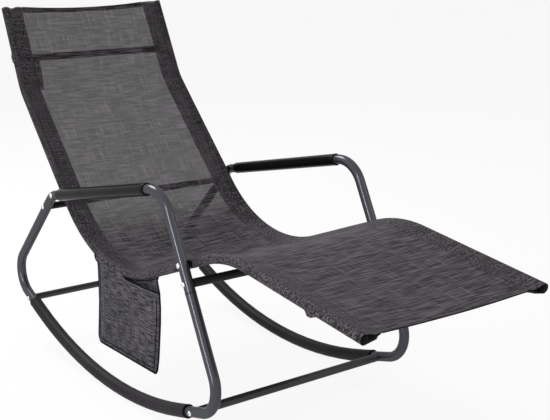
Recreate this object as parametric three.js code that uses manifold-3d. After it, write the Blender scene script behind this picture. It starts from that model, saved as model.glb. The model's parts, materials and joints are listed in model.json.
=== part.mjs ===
// Rocking chaise lounge. Two side frames of bent tube stand on curved rocker rails, four cross
// tubes join them, and an S-shaped seat frame between them carries a sleeved sling and a pocket.
// Millimetres, +Z up, +X towards the foot end, +Y to the sitter's left.
import * as THREE from 'three';
import { mergeVertices } from 'three/addons/utils/BufferGeometryUtils.js';
import Module from 'manifold-3d';

const wasm = await Module();
wasm.setup();

// Clearances, and how far a cutting shape runs past what it cuts
const fitGap = 0.3;
const cutOverrun = 6;

// Section sides and bend steps
const tubeSides = 12;
const boreSides = 8;
const bendStepAngle = 18;
const seatStepAngle = 9;
const rockerStepAngle = 2.9;

// Seat rails and side frames, measured between their centre planes
const seatRailSpacing = 500;
const frameOffset = 30;

// Side frames
const hoopDiameter = 25;
const hoopWall = 1.6;
const railDiameter = 32;
const railWall = 1.6;
const rockerRadius = 1074.5;
const rockerRearReach = 455;
const rockerFrontReach = 320;
const railSocketLength = 34;
const hoopInsertion = 28;
const armRearX = -314.7;
const armRearHeight = 446;
const armFrontX = 232.1;
const armFrontHeight = 564.9;
const uprightAngle = 45.5;
const legAngle = 63.4;
const rearStraightLength = 44.4;
const frontStraightLength = 62.5;
const rearTopBendRadius = 58;
const frontTopBendRadius = 80;
const legSeamHeight = 350.5;
const spigotLength = 42;

// Bushes at the rail ends
const bushFlangeDiameter = 33.4;
const bushFlangeLength = 6;
const bushLipDiameter = 31;

// Foam grips on the armrests
const gripDiameter = 31;
const gripLength = 445;
const gripSetback = 47;
const gripEndLength = 5;
const gripEndDiameter = 28.6;

// Cross tubes
const lowerCrossDiameter = 20;
const upperCrossDiameter = 18;
const crossWall = 1.4;
const rearCrossSetback = 19;
const frontCrossSetback = 27;
const middleCrossDrop = 220;
const backCrossDrop = 51;
const plugLength = 20;

// Bolts of the cross tubes and of the seat frame
const boltDiameter = 6;
const boltHeadDiameter = 12.5;
const boltHeadHeight = 4.2;
const boltCrownDiameter = 7;
const boltEngagement = 16;
const rivetNutDiameter = 9.4;
const rivetNutLength = 13;
const rivetNutFlangeDiameter = 13;
const rivetNutFlangeThickness = 1;
const spacerDiameter = 18;

// Seat frame: two rails bent to an S, from the head end to the foot end
const seatRailDiameter = 20;
const seatRailWall = 1.4;
const seatBoltSetback = 15.9;
const kinkAboveBolt = 339;
const headLength = 231.4;
const backrestLength = 617.3;
const thighLength = 578.4;
const calfLength = 444;
const headAngle = 64.8;
const backrestAngle = 46.8;
const thighAngle = 20.9;
const calfAngle = 7.46;
const kinkBendRadius = 140;
const valleyBendRadius = 360;
const kneeBendRadius = 316;
const headDrawIn = 12;
const headDrawInLength = 600;
const capDomeLength = 5;
const capStemLength = 16;

// Spreader bars behind the head and under the calf
const headBarDiameter = 19;
const headBarInset = 138;
const footBarDiameter = 20;
const footBarInset = 150;
const barNesting = 4;
const barOverhang = 4;
const barWall = 1.4;
const barScrewDiameter = 5;
const barScrewHeadDiameter = 10;
const barScrewHeadHeight = 2.2;
const barScrewBite = 4;

// Sling
const slingThickness = 1.2;
const sleeveThickness = 1;
const sleeveReach = 41;
const sleeveSeamWidth = 6;
const slingSag = 4;
const slingSagShares = [0.42, 0.9];
const sleeveHeadOverrun = 4;
const sleeveFootSetback = 4;
const boltSlotDiameter = 24;
const barSlotGap = 2;

// Side pocket
const pocketRearX = -128;
const pocketRearFootX = -137;
const pocketFrontX = 160;
const pocketFrontBulgeX = 165;
const pocketFrontFootX = 150;
const pocketBulgeHeight = 255;
const pocketWaistHeight = 200;
const pocketBottomHeight = 92;
const pocketMouthHeight = 302;
const pocketOverhang = 12;
const pocketThickness = 13;
const pocketWall = 1.2;
const pocketCornerRadius = 20;
const pocketInset = 4;

// Finishes
const finishes = {
  slateTube: { color: 0x4d5256, roughness: 0.42, metalness: 0.5 },
  charcoalTube: { color: 0x353236, roughness: 0.5, metalness: 0.4 },
  foam: { color: 0x2a282a, roughness: 0.85, metalness: 0 },
  zinc: { color: 0xc4c7c9, roughness: 0.3, metalness: 0.9 },
  blackPlastic: { color: 0x161517, roughness: 0.6, metalness: 0 },
  slingFabric: { color: 0x56535a, roughness: 0.9, metalness: 0 },
};

const lounge = new THREE.Group();
const radians = THREE.MathUtils.degToRad;
const flatShare = Math.cos(Math.PI / tubeSides);
const halfShare = 0.5;
const halfTurn = 180;

// Adds one named piece with a material of its own
function addPiece(name, geometry, finish) {
  const mesh = new THREE.Mesh(geometry, new THREE.MeshStandardMaterial(finishes[finish]));
  mesh.name = name;
  lounge.add(mesh);
  return mesh;
}

// Turns a closed geometry into a solid that can be joined and cut
function solidOf(geometry) {
  const bare = geometry.clone();
  bare.deleteAttribute('normal');
  bare.deleteAttribute('uv');
  const merged = mergeVertices(bare);
  return new wasm.Manifold(new wasm.Mesh({
    numProp: 3,
    vertProperties: new Float32Array(merged.attributes.position.array),
    triVerts: new Uint32Array(merged.index.array),
  }));
}

// Turns a solid back into a geometry
function geometryOf(solid) {
  const mesh = solid.getMesh();
  const geometry = new THREE.BufferGeometry();
  geometry.setAttribute('position', new THREE.BufferAttribute(new Float32Array(mesh.vertProperties), 3));
  geometry.setIndex(new THREE.BufferAttribute(new Uint32Array(mesh.triVerts), 1));
  geometry.computeVertexNormals();
  return geometry;
}

// Cuts each tool out of a geometry
function cut(geometry, ...tools) {
  let solid = solidOf(geometry);
  for (const tool of tools) {
    solid = solid.subtract(solidOf(tool));
  }
  return geometryOf(solid);
}

// Joins geometries that overlap into one
function join(...geometries) {
  const solids = geometries.map(solidOf);
  return geometryOf(solids.reduce((whole, next) => whole.add(next)));
}

// A point of a side profile: x forward and z up
const profilePoint = (x, z) => new THREE.Vector2(x, z);
const directionAt = (angle) => profilePoint(Math.cos(radians(angle)), Math.sin(radians(angle)));
const along = (start, direction, distance) => start.clone().addScaledVector(direction, distance);
const leftOf = (direction) => profilePoint(-direction.y, direction.x);

// Where two lines of a side profile cross
function crossing(pointA, directionA, pointB, directionB) {
  const offset = pointB.clone().sub(pointA);
  return along(pointA, directionA, offset.cross(directionB) / directionA.cross(directionB));
}

// A path in a side plane that passes exactly through its stations, with level side frames
class SidePath extends THREE.Curve {
  constructor(stations, sideY) {
    super();
    this.stations = stations;
    this.sideY = sideY;
  }

  blend(t, key) {
    const spans = this.stations.length - 1;
    const index = Math.min(Math.floor(t * spans), spans - 1);
    return this.stations[index][key].clone().lerp(this.stations[index + 1][key], t * spans - index);
  }

  getPoint(t) {
    const at = this.blend(t, 'point');
    return new THREE.Vector3(at.x, this.sideY, at.y);
  }

  getPointAt(u) {
    return this.getPoint(u);
  }

  getTangentAt(u) {
    const direction = this.blend(u, 'direction').normalize();
    return new THREE.Vector3(direction.x, 0, direction.y);
  }

  computeFrenetFrames(segments) {
    const shares = Array.from({ length: segments + 1 }, (_, index) => index / segments);
    const tangents = shares.map((share) => this.getTangentAt(share));
    const normals = tangents.map(() => new THREE.Vector3(0, 1, 0));
    const binormals = tangents.map((tangent) => new THREE.Vector3().crossVectors(tangent, normals[0]));
    return { tangents, normals, binormals };
  }
}

// Stations of a bent tube: its corners rounded by arcs of the given radii
function bentPath(corners, bendRadii, stepAngle) {
  const stations = [];
  const first = corners[1].clone().sub(corners[0]).normalize();
  stations.push({ point: corners[0].clone(), direction: first });
  for (let index = 1; index < corners.length - 1; index += 1) {
    const corner = corners[index];
    const into = corner.clone().sub(corners[index - 1]).normalize();
    const out = corners[index + 1].clone().sub(corner).normalize();
    const turn = Math.atan2(into.cross(out), into.dot(out));
    const radius = bendRadii[index - 1];
    const setback = radius * Math.tan(Math.abs(turn) / 2);
    const start = along(corner, into, -setback);
    const centre = along(start, leftOf(into), Math.sign(turn) * radius);
    const steps = Math.max(1, Math.round(Math.abs(turn) / radians(stepAngle)));
    for (let step = 0; step <= steps; step += 1) {
      const angle = turn * step / steps;
      stations.push({
        point: start.clone().rotateAround(centre, angle),
        direction: into.clone().rotateAround(profilePoint(0, 0), angle),
      });
    }
  }
  const last = corners[corners.length - 1];
  const lastDirection = last.clone().sub(corners[corners.length - 2]).normalize();
  stations.push({ point: last.clone(), direction: lastDirection });
  return stations;
}

// A regular polygon with a flat on each side and on top
function ringPoints(diameter, sides) {
  return Array.from({ length: sides }, (_, index) => {
    const angle = (index + halfShare) * 2 * Math.PI / sides;
    return profilePoint(Math.cos(angle), Math.sin(angle)).multiplyScalar(diameter / 2);
  });
}

// A section swept along a side path
function sweep(section, stations, sideY) {
  return new THREE.ExtrudeGeometry(section, {
    steps: stations.length - 1,
    extrudePath: new SidePath(stations, sideY),
    bevelEnabled: false,
  });
}

// A round bar along a side path
function bar(stations, sideY, diameter) {
  return sweep(new THREE.Shape(ringPoints(diameter, tubeSides)), stations, sideY);
}

// A hollow tube along a side path
function tube(stations, sideY, diameter, wall) {
  const section = new THREE.Shape(ringPoints(diameter, tubeSides));
  section.holes.push(new THREE.Path(ringPoints(diameter - 2 * wall, tubeSides)));
  return sweep(section, stations, sideY);
}

// The two stations of a straight length
function straight(start, direction, length) {
  return [
    { point: start.clone(), direction },
    { point: along(start, direction, length), direction },
  ];
}

// A turned shape from radius and height pairs, its axis along a side profile direction
function turnedAlong(profile, start, direction, sideY, sides = tubeSides) {
  const geometry = new THREE.LatheGeometry(profile.map(([r, h]) => new THREE.Vector2(r, h)), sides);
  geometry.rotateY(Math.PI / sides);
  const sideways = new THREE.Vector3(0, 1, 0);
  const axis = new THREE.Vector3(direction.x, 0, direction.y);
  const upright = new THREE.Vector3().crossVectors(sideways, axis);
  geometry.applyMatrix4(new THREE.Matrix4().makeBasis(sideways, axis, upright));
  return geometry.translate(start.x, sideY, start.y);
}

// A turned shape whose axis runs across the lounge, its height counted outwards from sideY
function turnedAcross(profile, at, sideY, side, sides = boreSides) {
  const geometry = new THREE.LatheGeometry(profile.map(([r, h]) => new THREE.Vector2(r, h)), sides);
  geometry.rotateY(Math.PI / sides);
  if (side < 0) {
    geometry.rotateX(Math.PI);
  }
  return geometry.translate(at.x, sideY, at.y);
}

// A round rod across the lounge between two sideways places
function rodAcross(diameter, at, fromY, toY, sides) {
  const length = Math.abs(toY - fromY);
  const geometry = new THREE.CylinderGeometry(diameter / 2, diameter / 2, length, sides);
  geometry.rotateY(Math.PI / sides);
  return geometry.translate(at.x, (fromY + toY) / 2, at.y);
}

// Rocker rail: its arc has one level facet at the very bottom, which stands on the floor
const railFlatRadius = railDiameter / 2 * flatShare;
const halfFacetAngle = radians(rockerStepAngle) / 2;
const railCentreHeight = (rockerRadius + railFlatRadius) * Math.cos(halfFacetAngle);
const railCentre = profilePoint(0, railCentreHeight);

// Angle from the bottom at which the arc ends and the straight socket starts
function arcEndAngle(reach) {
  const tip = Math.hypot(rockerRadius, railSocketLength);
  return Math.asin(reach / tip) - Math.atan2(railSocketLength, rockerRadius);
}

function railStation(angle) {
  const direction = profilePoint(Math.cos(angle), Math.sin(angle));
  return { point: along(railCentre, leftOf(direction), -rockerRadius), direction };
}

// Angles from the level facet out to one end of the arc
function facetAngles(endAngle) {
  const facets = Math.max(1, Math.round((endAngle - halfFacetAngle) / radians(rockerStepAngle)));
  const step = (endAngle - halfFacetAngle) / facets;
  return Array.from({ length: facets + 1 }, (_, index) => halfFacetAngle + index * step);
}

const rearAngles = facetAngles(arcEndAngle(rockerRearReach)).map((angle) => -angle).reverse();
const frontAngles = facetAngles(arcEndAngle(rockerFrontReach));
const railArc = [...rearAngles, ...frontAngles].map(railStation);
const rearArcEnd = railArc[0];
const frontArcEnd = railArc[railArc.length - 1];
const railRear = {
  point: along(rearArcEnd.point, rearArcEnd.direction, -railSocketLength),
  direction: rearArcEnd.direction,
};
const railFront = {
  point: along(frontArcEnd.point, frontArcEnd.direction, railSocketLength),
  direction: frontArcEnd.direction,
};
const railStations = [railRear, ...railArc, railFront];

// Corners of the side frame
const armRear = profilePoint(armRearX, armRearHeight);
const armFront = profilePoint(armFrontX, armFrontHeight);
const armDirection = armFront.clone().sub(armRear).normalize();
const uprightDirection = directionAt(uprightAngle);
const legDirection = directionAt(-legAngle);
const rearCorner = crossing(railRear.point, railRear.direction, armRear, uprightDirection);
const frontCorner = crossing(armFront, legDirection, railFront.point, railFront.direction);
const legSeam = along(armFront, legDirection, (armFrontHeight - legSeamHeight) / Math.sin(radians(legAngle)));
const hoopRearEnd = along(railRear.point, railRear.direction, hoopInsertion);
const legFrontEnd = along(railFront.point, railFront.direction, -hoopInsertion);


// Radius of the bend at a corner whose first side stays straight for a given length
function bendRadiusAfter(start, straightLength, corner, next) {
  const into = corner.clone().sub(start);
  const turn = Math.abs(Math.atan2(into.cross(next), into.dot(next)));
  return (into.length() - straightLength) / Math.tan(turn / 2);
}
const rearBottomBendRadius = bendRadiusAfter(railRear.point, rearStraightLength, rearCorner, uprightDirection);
const upLeg = legDirection.clone().negate();
const frontBottomBendRadius = bendRadiusAfter(railFront.point, frontStraightLength, frontCorner, upLeg);

const hoopStations = bentPath(
  [hoopRearEnd, rearCorner, armRear, armFront, legSeam],
  [rearBottomBendRadius, rearTopBendRadius, frontTopBendRadius],
  bendStepAngle,
);
const legStart = along(legSeam, legDirection, fitGap);
const legStations = bentPath([legStart, frontCorner, legFrontEnd], [frontBottomBendRadius], bendStepAngle);

// Seat frame corners, hung from the bolt behind the armrest
const backBolt = along(armRear, armDirection, seatBoltSetback);
const backrestDirection = directionAt(halfTurn - backrestAngle);
const kink = along(backBolt, backrestDirection, kinkAboveBolt);
const headEnd = along(kink, directionAt(halfTurn - headAngle), headLength);
const valley = along(kink, backrestDirection, -backrestLength);
const thighDirection = directionAt(thighAngle);
const knee = along(valley, thighDirection, thighLength);
const calfDirection = directionAt(-calfAngle);
const footEnd = along(knee, calfDirection, calfLength);
const headDirection = kink.clone().sub(headEnd).normalize();
const frontBolt = crossing(armFront, legDirection, valley, thighDirection);
const seatBendRadii = [kinkBendRadius, valleyBendRadius, kneeBendRadius];

// Seat path between two points of its end lengths
function seatPath(start, end) {
  return bentPath([start, kink, valley, knee, end], seatBendRadii, seatStepAngle);
}
const seatStations = seatPath(headEnd, footEnd);
const slingStations = seatPath(
  along(headEnd, headDirection, -sleeveHeadOverrun),
  along(footEnd, calfDirection, -sleeveFootSetback),
);

// The free head ends of the rails are drawn together by the sling
const seatHalfWidth = seatRailSpacing / 2;
const seatRailRadius = seatRailDiameter / 2;
const sleeveFold = seatRailRadius + fitGap / flatShare;
const drawInEdge = seatHalfWidth - sleeveReach - sleeveSeamWidth;

function drawIn(geometry) {
  const position = geometry.attributes.position;
  for (let index = 0; index < position.count; index += 1) {
    const y = position.getY(index);
    const rise = position.getX(index) < valley.x ? position.getZ(index) - backBolt.y : 0;
    const inset = headDrawIn * Math.max(0, rise) / headDrawInLength;
    const share = Math.min(1, Math.abs(y) / drawInEdge);
    position.setY(index, y - Math.sign(y) * inset * share);
  }
  return geometry;
}

// Bolts across the side frames: where they stand and how far in they reach
const frameHalf = seatHalfWidth + frameOffset;
const hoopFlat = hoopDiameter / 2 * flatShare;
const boltBore = boltDiameter + 2 * fitGap;
const crossTubes = [
  {
    name: 'rear_cross_tube',
    at: along(railRear.point, railRear.direction, -rearCrossSetback),
    diameter: upperCrossDiameter,
  },
  {
    name: 'front_cross_tube',
    at: along(railFront.point, railFront.direction, frontCrossSetback),
    diameter: lowerCrossDiameter,
  },
  {
    name: 'middle_cross_tube',
    at: along(armFront, legDirection, middleCrossDrop),
    diameter: lowerCrossDiameter,
  },
  {
    name: 'back_cross_tube',
    at: along(armRear, uprightDirection, -backCrossDrop),
    diameter: upperCrossDiameter,
  },
];
const seatBolts = [
  { name: 'back', at: backBolt },
  { name: 'front', at: frontBolt },
];

// Bores through both side frames for every bolt
function frameBores(sideY) {
  const reach = hoopDiameter / 2 + cutOverrun;
  return [...crossTubes, ...seatBolts].map(({ at }) => (
    rodAcross(boltBore, at, sideY - reach, sideY + reach, boreSides)
  ));
}

// Pan-head bolt: the head bears on the hoop's outer flat
function boltProfile(length) {
  const shank = boltDiameter / 2;
  const head = boltHeadDiameter / 2;
  return [
    [0, -length],
    [shank, -length],
    [shank, fitGap],
    [head, fitGap],
    [head, fitGap + boltHeadHeight / 2],
    [boltCrownDiameter / 2, fitGap + boltHeadHeight],
    [0, fitGap + boltHeadHeight],
  ];
}

// A ring with a plain bore, its height counted from zero
function ringProfile(outer, bore, length) {
  return [
    [bore / 2, 0],
    [outer / 2, 0],
    [outer / 2, length],
    [bore / 2, length],
    [bore / 2, 0],
  ];
}

// Bush at a rail end: a sleeve between rail and tube, with a flange that closes the rail
function bushProfile() {
  const bore = hoopDiameter / 2 + fitGap;
  const sleeve = railDiameter / 2 - railWall - fitGap;
  const flange = bushFlangeDiameter / 2;
  return [
    [bore, -hoopInsertion],
    [sleeve, -hoopInsertion],
    [sleeve, fitGap],
    [flange, fitGap],
    [flange, bushFlangeLength / 2],
    [bushLipDiameter / 2, bushFlangeLength],
    [bore, bushFlangeLength],
    [bore, -hoopInsertion],
  ];
}

// Foam grip, rolled in at both ends
function gripProfile() {
  const bore = hoopDiameter / 2 + fitGap;
  const rim = gripEndDiameter / 2;
  const body = gripDiameter / 2;
  return [
    [bore, 0],
    [rim, 0],
    [body, gripEndLength],
    [body, gripLength - gripEndLength],
    [rim, gripLength],
    [bore, gripLength],
    [bore, 0],
  ];
}

// One side frame: hoop, lower leg, rocker rail, bushes, grip
function addSideFrame(prefix, side) {
  const sideY = side * frameHalf;
  const bores = frameBores(sideY);
  const spigotDiameter = hoopDiameter - 2 * hoopWall - 2 * fitGap;
  const spigotBore = spigotDiameter - 2 * hoopWall;

  const hoop = tube(hoopStations, sideY, hoopDiameter, hoopWall);
  addPiece(`${prefix}_frame_hoop`, cut(hoop, ...bores), 'slateTube');

  const spigotRoot = along(legStart, legDirection, cutOverrun);
  const spigotStations = straight(spigotRoot, upLeg, spigotLength + cutOverrun);
  const spigotBoreStations = straight(spigotRoot, upLeg, spigotLength + 2 * cutOverrun);
  const leg = join(bar(legStations, sideY, hoopDiameter), bar(spigotStations, sideY, spigotDiameter));
  const legBoreStart = along(legStart, legDirection, cutOverrun);
  const legBoreEnd = along(legFrontEnd, railFront.direction, -cutOverrun);
  const legBoreStations = bentPath([legBoreStart, frontCorner, legBoreEnd], [frontBottomBendRadius], bendStepAngle);
  const legBore = bar(legBoreStations, sideY, hoopDiameter - 2 * hoopWall);
  const spigotHole = bar(spigotBoreStations, sideY, spigotBore);
  addPiece(`${prefix}_lower_leg`, cut(leg, legBore, spigotHole, ...bores), 'slateTube');

  addPiece(`${prefix}_rocker_rail`, tube(railStations, sideY, railDiameter, railWall), 'charcoalTube');

  const outwards = railRear.direction.clone().negate();
  const rearBush = turnedAlong(bushProfile(), railRear.point, outwards, sideY);
  const frontBush = turnedAlong(bushProfile(), railFront.point, railFront.direction, sideY);
  addPiece(`${prefix}_rear_bush`, rearBush, 'blackPlastic');
  addPiece(`${prefix}_front_bush`, frontBush, 'blackPlastic');

  const gripStart = along(armRear, armDirection, gripSetback);
  addPiece(`${prefix}_arm_grip`, turnedAlong(gripProfile(), gripStart, armDirection, sideY), 'foam');
}

// Cross tube, coped to the hoops, with a threaded plug and a bolt at each end
function addCrossTube({ name, at, diameter }) {
  const reach = frameHalf - hoopFlat - fitGap;
  const inner = diameter - 2 * crossWall;
  const outside = rodAcross(diameter, at, -reach, reach, tubeSides);
  const hollow = rodAcross(inner, at, -reach - cutOverrun, reach + cutOverrun, tubeSides);
  addPiece(name, cut(outside, hollow), 'charcoalTube');

  for (const [prefix, side] of [['right', -1], ['left', 1]]) {
    const plug = ringProfile(inner - 2 * fitGap, boltBore, -plugLength);
    addPiece(`${prefix}_${name}_plug`, turnedAcross(plug.reverse(), at, side * reach, side), 'zinc');
    const length = 2 * hoopFlat + fitGap + boltEngagement;
    const outerFlat = side * (frameHalf + hoopFlat);
    addPiece(`${prefix}_${name}_bolt`, turnedAcross(boltProfile(length), at, outerFlat, side), 'zinc');
  }
}

// Seat bolt on one side: bolt, saddle spacer and rivet nut in the seat rail
function addSeatBolt(prefix, side, { name, at }) {
  const railFlat = seatHalfWidth + seatRailRadius * flatShare;
  const outerFlat = frameHalf + hoopFlat;
  const flangeFace = railFlat + fitGap + rivetNutFlangeThickness;
  const innerFlat = frameHalf - hoopFlat - fitGap;
  const length = outerFlat - railFlat + rivetNutLength - fitGap;
  addPiece(
    `${prefix}_seat_${name}_bolt`,
    turnedAcross(boltProfile(length), at, side * outerFlat, side),
    'zinc',
  );
  const spacer = ringProfile(spacerDiameter, boltBore, innerFlat - flangeFace - fitGap);
  addPiece(
    `${prefix}_seat_${name}_spacer`,
    turnedAcross(spacer, at, side * (flangeFace + fitGap), side, tubeSides),
    'blackPlastic',
  );
  const bore = boltBore / 2;
  const nut = [
    [bore, -rivetNutLength],
    [rivetNutDiameter / 2, -rivetNutLength],
    [rivetNutDiameter / 2, 0],
    [rivetNutFlangeDiameter / 2, 0],
    [rivetNutFlangeDiameter / 2, rivetNutFlangeThickness],
    [bore, rivetNutFlangeThickness],
    [bore, -rivetNutLength],
  ];
  addPiece(
    `${prefix}_seat_${name}_nut`,
    turnedAcross(nut, at, side * (railFlat + fitGap), side),
    'zinc',
  );
}

// Spreader bars: the bar's place beside the rails, and the way from bar to rail
const headBarRail = along(headEnd, headDirection, headBarInset);
const footBarRail = along(footEnd, calfDirection, -footBarInset);
const spreaderBars = [
  { name: 'head_spreader_bar', rail: headBarRail, upwards: leftOf(headDirection), diameter: headBarDiameter },
  { name: 'foot_spreader_bar', rail: footBarRail, upwards: leftOf(calfDirection), diameter: footBarDiameter },
].map((spreader) => {
  const distance = seatRailRadius + spreader.diameter / 2 - barNesting;
  return { ...spreader, distance, at: along(spreader.rail, spreader.upwards, -distance) };
});

const barReach = seatHalfWidth + barOverhang;

// Screw hole or screw along the way from a bar to its rail
function screwRod(spreader, side, diameter, from, to) {
  const start = along(spreader.rail, spreader.upwards, from);
  return bar(straight(start, spreader.upwards, to - from), side * seatHalfWidth, diameter);
}

// One seat rail, bored for its bolts and for the screws of the spreader bars
function addSeatRail(prefix, side) {
  const sideY = side * seatHalfWidth;
  const boltHoles = seatBolts.map(({ at }) => (
    rodAcross(rivetNutDiameter + 2 * fitGap, at, sideY, sideY + side * seatRailDiameter, boreSides)
  ));
  const screwHoles = spreaderBars.map((spreader) => (
    screwRod(spreader, side, barScrewDiameter + 2 * fitGap, -seatRailDiameter, 0)
  ));
  const rail = cut(tube(seatStations, sideY, seatRailDiameter, seatRailWall), ...boltHoles, ...screwHoles);
  addPiece(`${prefix}_seat_rail`, drawIn(rail), 'charcoalTube');

  const stem = seatRailRadius - seatRailWall - fitGap;
  const cap = [
    [0, -capStemLength],
    [stem, -capStemLength],
    [stem, fitGap],
    [seatRailRadius, fitGap],
    [seatRailRadius, capDomeLength / 2],
    [stem, capDomeLength],
    [0, capDomeLength],
  ];
  const headwards = headDirection.clone().negate();
  addPiece(`${prefix}_head_cap`, drawIn(turnedAlong(cap, headEnd, headwards, sideY)), 'blackPlastic');
  addPiece(`${prefix}_foot_cap`, turnedAlong(cap, footEnd, calfDirection, sideY), 'blackPlastic');
}

// Spreader bar, coped to the rails, with a screw at each end
function addSpreaderBar(spreader) {
  const { name, rail, upwards, diameter, at, distance } = spreader;
  const hollowReach = barReach + cutOverrun;
  const hollow = rodAcross(diameter - 2 * barWall, at, -hollowReach, hollowReach, tubeSides);
  let body = cut(rodAcross(diameter, at, -barReach, barReach, tubeSides), hollow);
  const direction = profilePoint(upwards.y, -upwards.x);
  const copeStart = along(rail, direction, -diameter);
  for (const side of [-1, 1]) {
    const cope = bar(
      straight(copeStart, direction, 2 * diameter),
      side * seatHalfWidth,
      seatRailDiameter + 2 * fitGap / flatShare,
    );
    const hole = screwRod(spreader, side, barScrewDiameter + 2 * fitGap, -distance - diameter, 0);
    body = cut(body, cope, hole);
  }
  addPiece(name, drawIn(body), 'charcoalTube');

  const seat = -distance - diameter / 2 * flatShare - fitGap;
  const shank = barScrewDiameter / 2;
  const head = barScrewHeadDiameter / 2;
  const tip = -seatRailRadius + barScrewBite;
  const screw = [
    [0, tip],
    [shank, tip],
    [shank, seat],
    [head, seat],
    [head, seat - barScrewHeadHeight],
    [0, seat - barScrewHeadHeight],
  ].reverse();
  for (const [prefix, side] of [['right', -1], ['left', 1]]) {
    const part = turnedAlong(screw, rail, upwards, side * seatHalfWidth, boreSides);
    addPiece(`${prefix}_${name}_screw`, drawIn(part), 'zinc');
  }
}

// Half of a sleeve's outline round one rail, from its under side to its top
function sleeveArc(side, radius) {
  const folds = tubeSides / 2 + 2;
  const start = -(folds - 1) / 2;
  return Array.from({ length: folds }, (_, index) => {
    const angle = (start + index) * 2 * Math.PI / tubeSides;
    return profilePoint(side * (seatHalfWidth + radius * Math.cos(angle)), radius * Math.sin(angle));
  });
}

// Section of the sling: a sleeve round each rail and the panel between them
function slingSection() {
  const half = slingThickness / 2;
  const outer = sleeveFold + sleeveThickness / flatShare;
  const seam = seatHalfWidth - sleeveReach;
  const [sagPlaceShare, sagDepthShare] = slingSagShares;
  const sagPlace = seam * sagPlaceShare;
  const sagDepth = slingSag * sagDepthShare;
  const underside = [
    profilePoint(-seam, -half),
    profilePoint(-sagPlace, -half - sagDepth),
    profilePoint(sagPlace, -half - sagDepth),
    profilePoint(seam, -half),
  ];
  const topSide = [
    profilePoint(seam, half),
    profilePoint(sagPlace, half - sagDepth),
    profilePoint(-sagPlace, half - sagDepth),
    profilePoint(-seam, half),
  ];
  const outline = [
    ...underside,
    ...sleeveArc(1, outer),
    ...topSide,
    ...sleeveArc(-1, outer).reverse(),
  ];
  const section = new THREE.Shape(outline);
  for (const side of [-1, 1]) {
    const apex = profilePoint(side * (seam + sleeveSeamWidth), 0);
    section.holes.push(new THREE.Path([...sleeveArc(side, sleeveFold), apex]));
  }
  return section;
}

// Sling, cut clear of the seat bolts and of the spreader bars with their screws
function addSling() {
  const body = sweep(slingSection(), slingStations, 0);
  const tools = [];
  for (const side of [-1, 1]) {
    const sideY = side * seatHalfWidth;
    for (const { at } of seatBolts) {
      tools.push(rodAcross(boltSlotDiameter, at, sideY, sideY + side * seatRailDiameter, tubeSides));
    }
    for (const spreader of spreaderBars) {
      const slotY = side * (barReach + barSlotGap);
      const slotWidth = spreader.diameter + 2 * barSlotGap;
      tools.push(rodAcross(slotWidth, spreader.at, 0, slotY, tubeSides));
      const slot = screwRod(spreader, side, barScrewHeadDiameter + 2 * barSlotGap, -2 * seatRailDiameter, 0);
      tools.push(slot);
    }
  }
  addPiece('sling', drawIn(cut(body, ...tools)), 'slingFabric');
}

// Outline of the pocket in its upright plane, up to the given top edge
function pocketOutline(inset, topEdge) {
  const rearFoot = pocketRearFootX + inset;
  const frontFoot = pocketFrontFootX - inset;
  const bottom = pocketBottomHeight + inset;
  const radius = pocketCornerRadius - inset;
  const shape = new THREE.Shape();
  shape.moveTo(topEdge[0].x, topEdge[0].y);
  shape.lineTo(pocketRearX + inset, pocketWaistHeight);
  shape.lineTo(rearFoot, bottom + radius);
  shape.quadraticCurveTo(rearFoot, bottom, rearFoot + radius, bottom);
  shape.lineTo(frontFoot - radius, bottom);
  shape.quadraticCurveTo(frontFoot, bottom, frontFoot, bottom + radius);
  shape.lineTo(pocketFrontBulgeX - inset, pocketBulgeHeight);
  for (const point of [...topEdge].reverse().slice(0, -1)) {
    shape.lineTo(point.x, point.y);
  }
  return shape;
}

// A line along the sleeve's under side, from the pocket's rear edge to its front edge
function underSleeve(gap, rearX, frontX) {
  const drop = sleeveFold + sleeveThickness / flatShare + gap;
  const under = slingStations.map(({ point, direction }) => along(point, leftOf(direction), -drop));
  const pointAt = (x) => {
    const next = under.findIndex((point) => point.x >= x);
    const before = under[next - 1];
    return before.clone().lerp(under[next], (x - before.x) / (under[next].x - before.x));
  };
  const between = under.filter(({ x }) => x > rearX && x < frontX);
  return [pointAt(rearX), ...between, pointAt(frontX)];
}

// An upright slab of an outline, between two sideways places
function slab(shape, fromY, toY) {
  const geometry = new THREE.ExtrudeGeometry(shape, {
    depth: Math.abs(toY - fromY),
    bevelEnabled: false,
    curveSegments: 3,
  });
  geometry.rotateX(Math.PI / 2);
  return geometry.translate(0, Math.max(fromY, toY), 0);
}

// Pocket: a pouch sewn under the right-hand sleeve, open at the top in front of its back panel
function addPocket() {
  const outerY = -seatHalfWidth - pocketOverhang;
  const innerY = outerY + pocketThickness;
  const fullEdge = underSleeve(fitGap, pocketRearX, pocketFrontX);
  const body = slab(pocketOutline(0, fullEdge), outerY, innerY);
  const cavityEdge = underSleeve(-cutOverrun, pocketRearX + pocketInset, pocketFrontX - pocketInset);
  const cavity = slab(pocketOutline(pocketInset, cavityEdge), outerY + pocketWall, innerY - pocketWall);
  const mouth = new THREE.BoxGeometry(
    pocketFrontBulgeX - pocketRearFootX + 2 * cutOverrun,
    pocketThickness - pocketWall + cutOverrun,
    seatRailSpacing,
  );
  mouth.translate(
    (pocketFrontBulgeX + pocketRearFootX) / 2,
    innerY - pocketWall - (pocketThickness - pocketWall + cutOverrun) / 2,
    pocketMouthHeight + seatRailSpacing / 2,
  );
  addPiece('side_pocket', cut(body, cavity, mouth), 'slingFabric');
}

for (const [prefix, side] of [['right', -1], ['left', 1]]) {
  addSideFrame(prefix, side);
  addSeatRail(prefix, side);
  for (const bolt of seatBolts) {
    addSeatBolt(prefix, side, bolt);
  }
}
for (const crossTube of crossTubes) {
  addCrossTube(crossTube);
}
for (const spreader of spreaderBars) {
  addSpreaderBar(spreader);
}
addSling();
addPocket();

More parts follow.
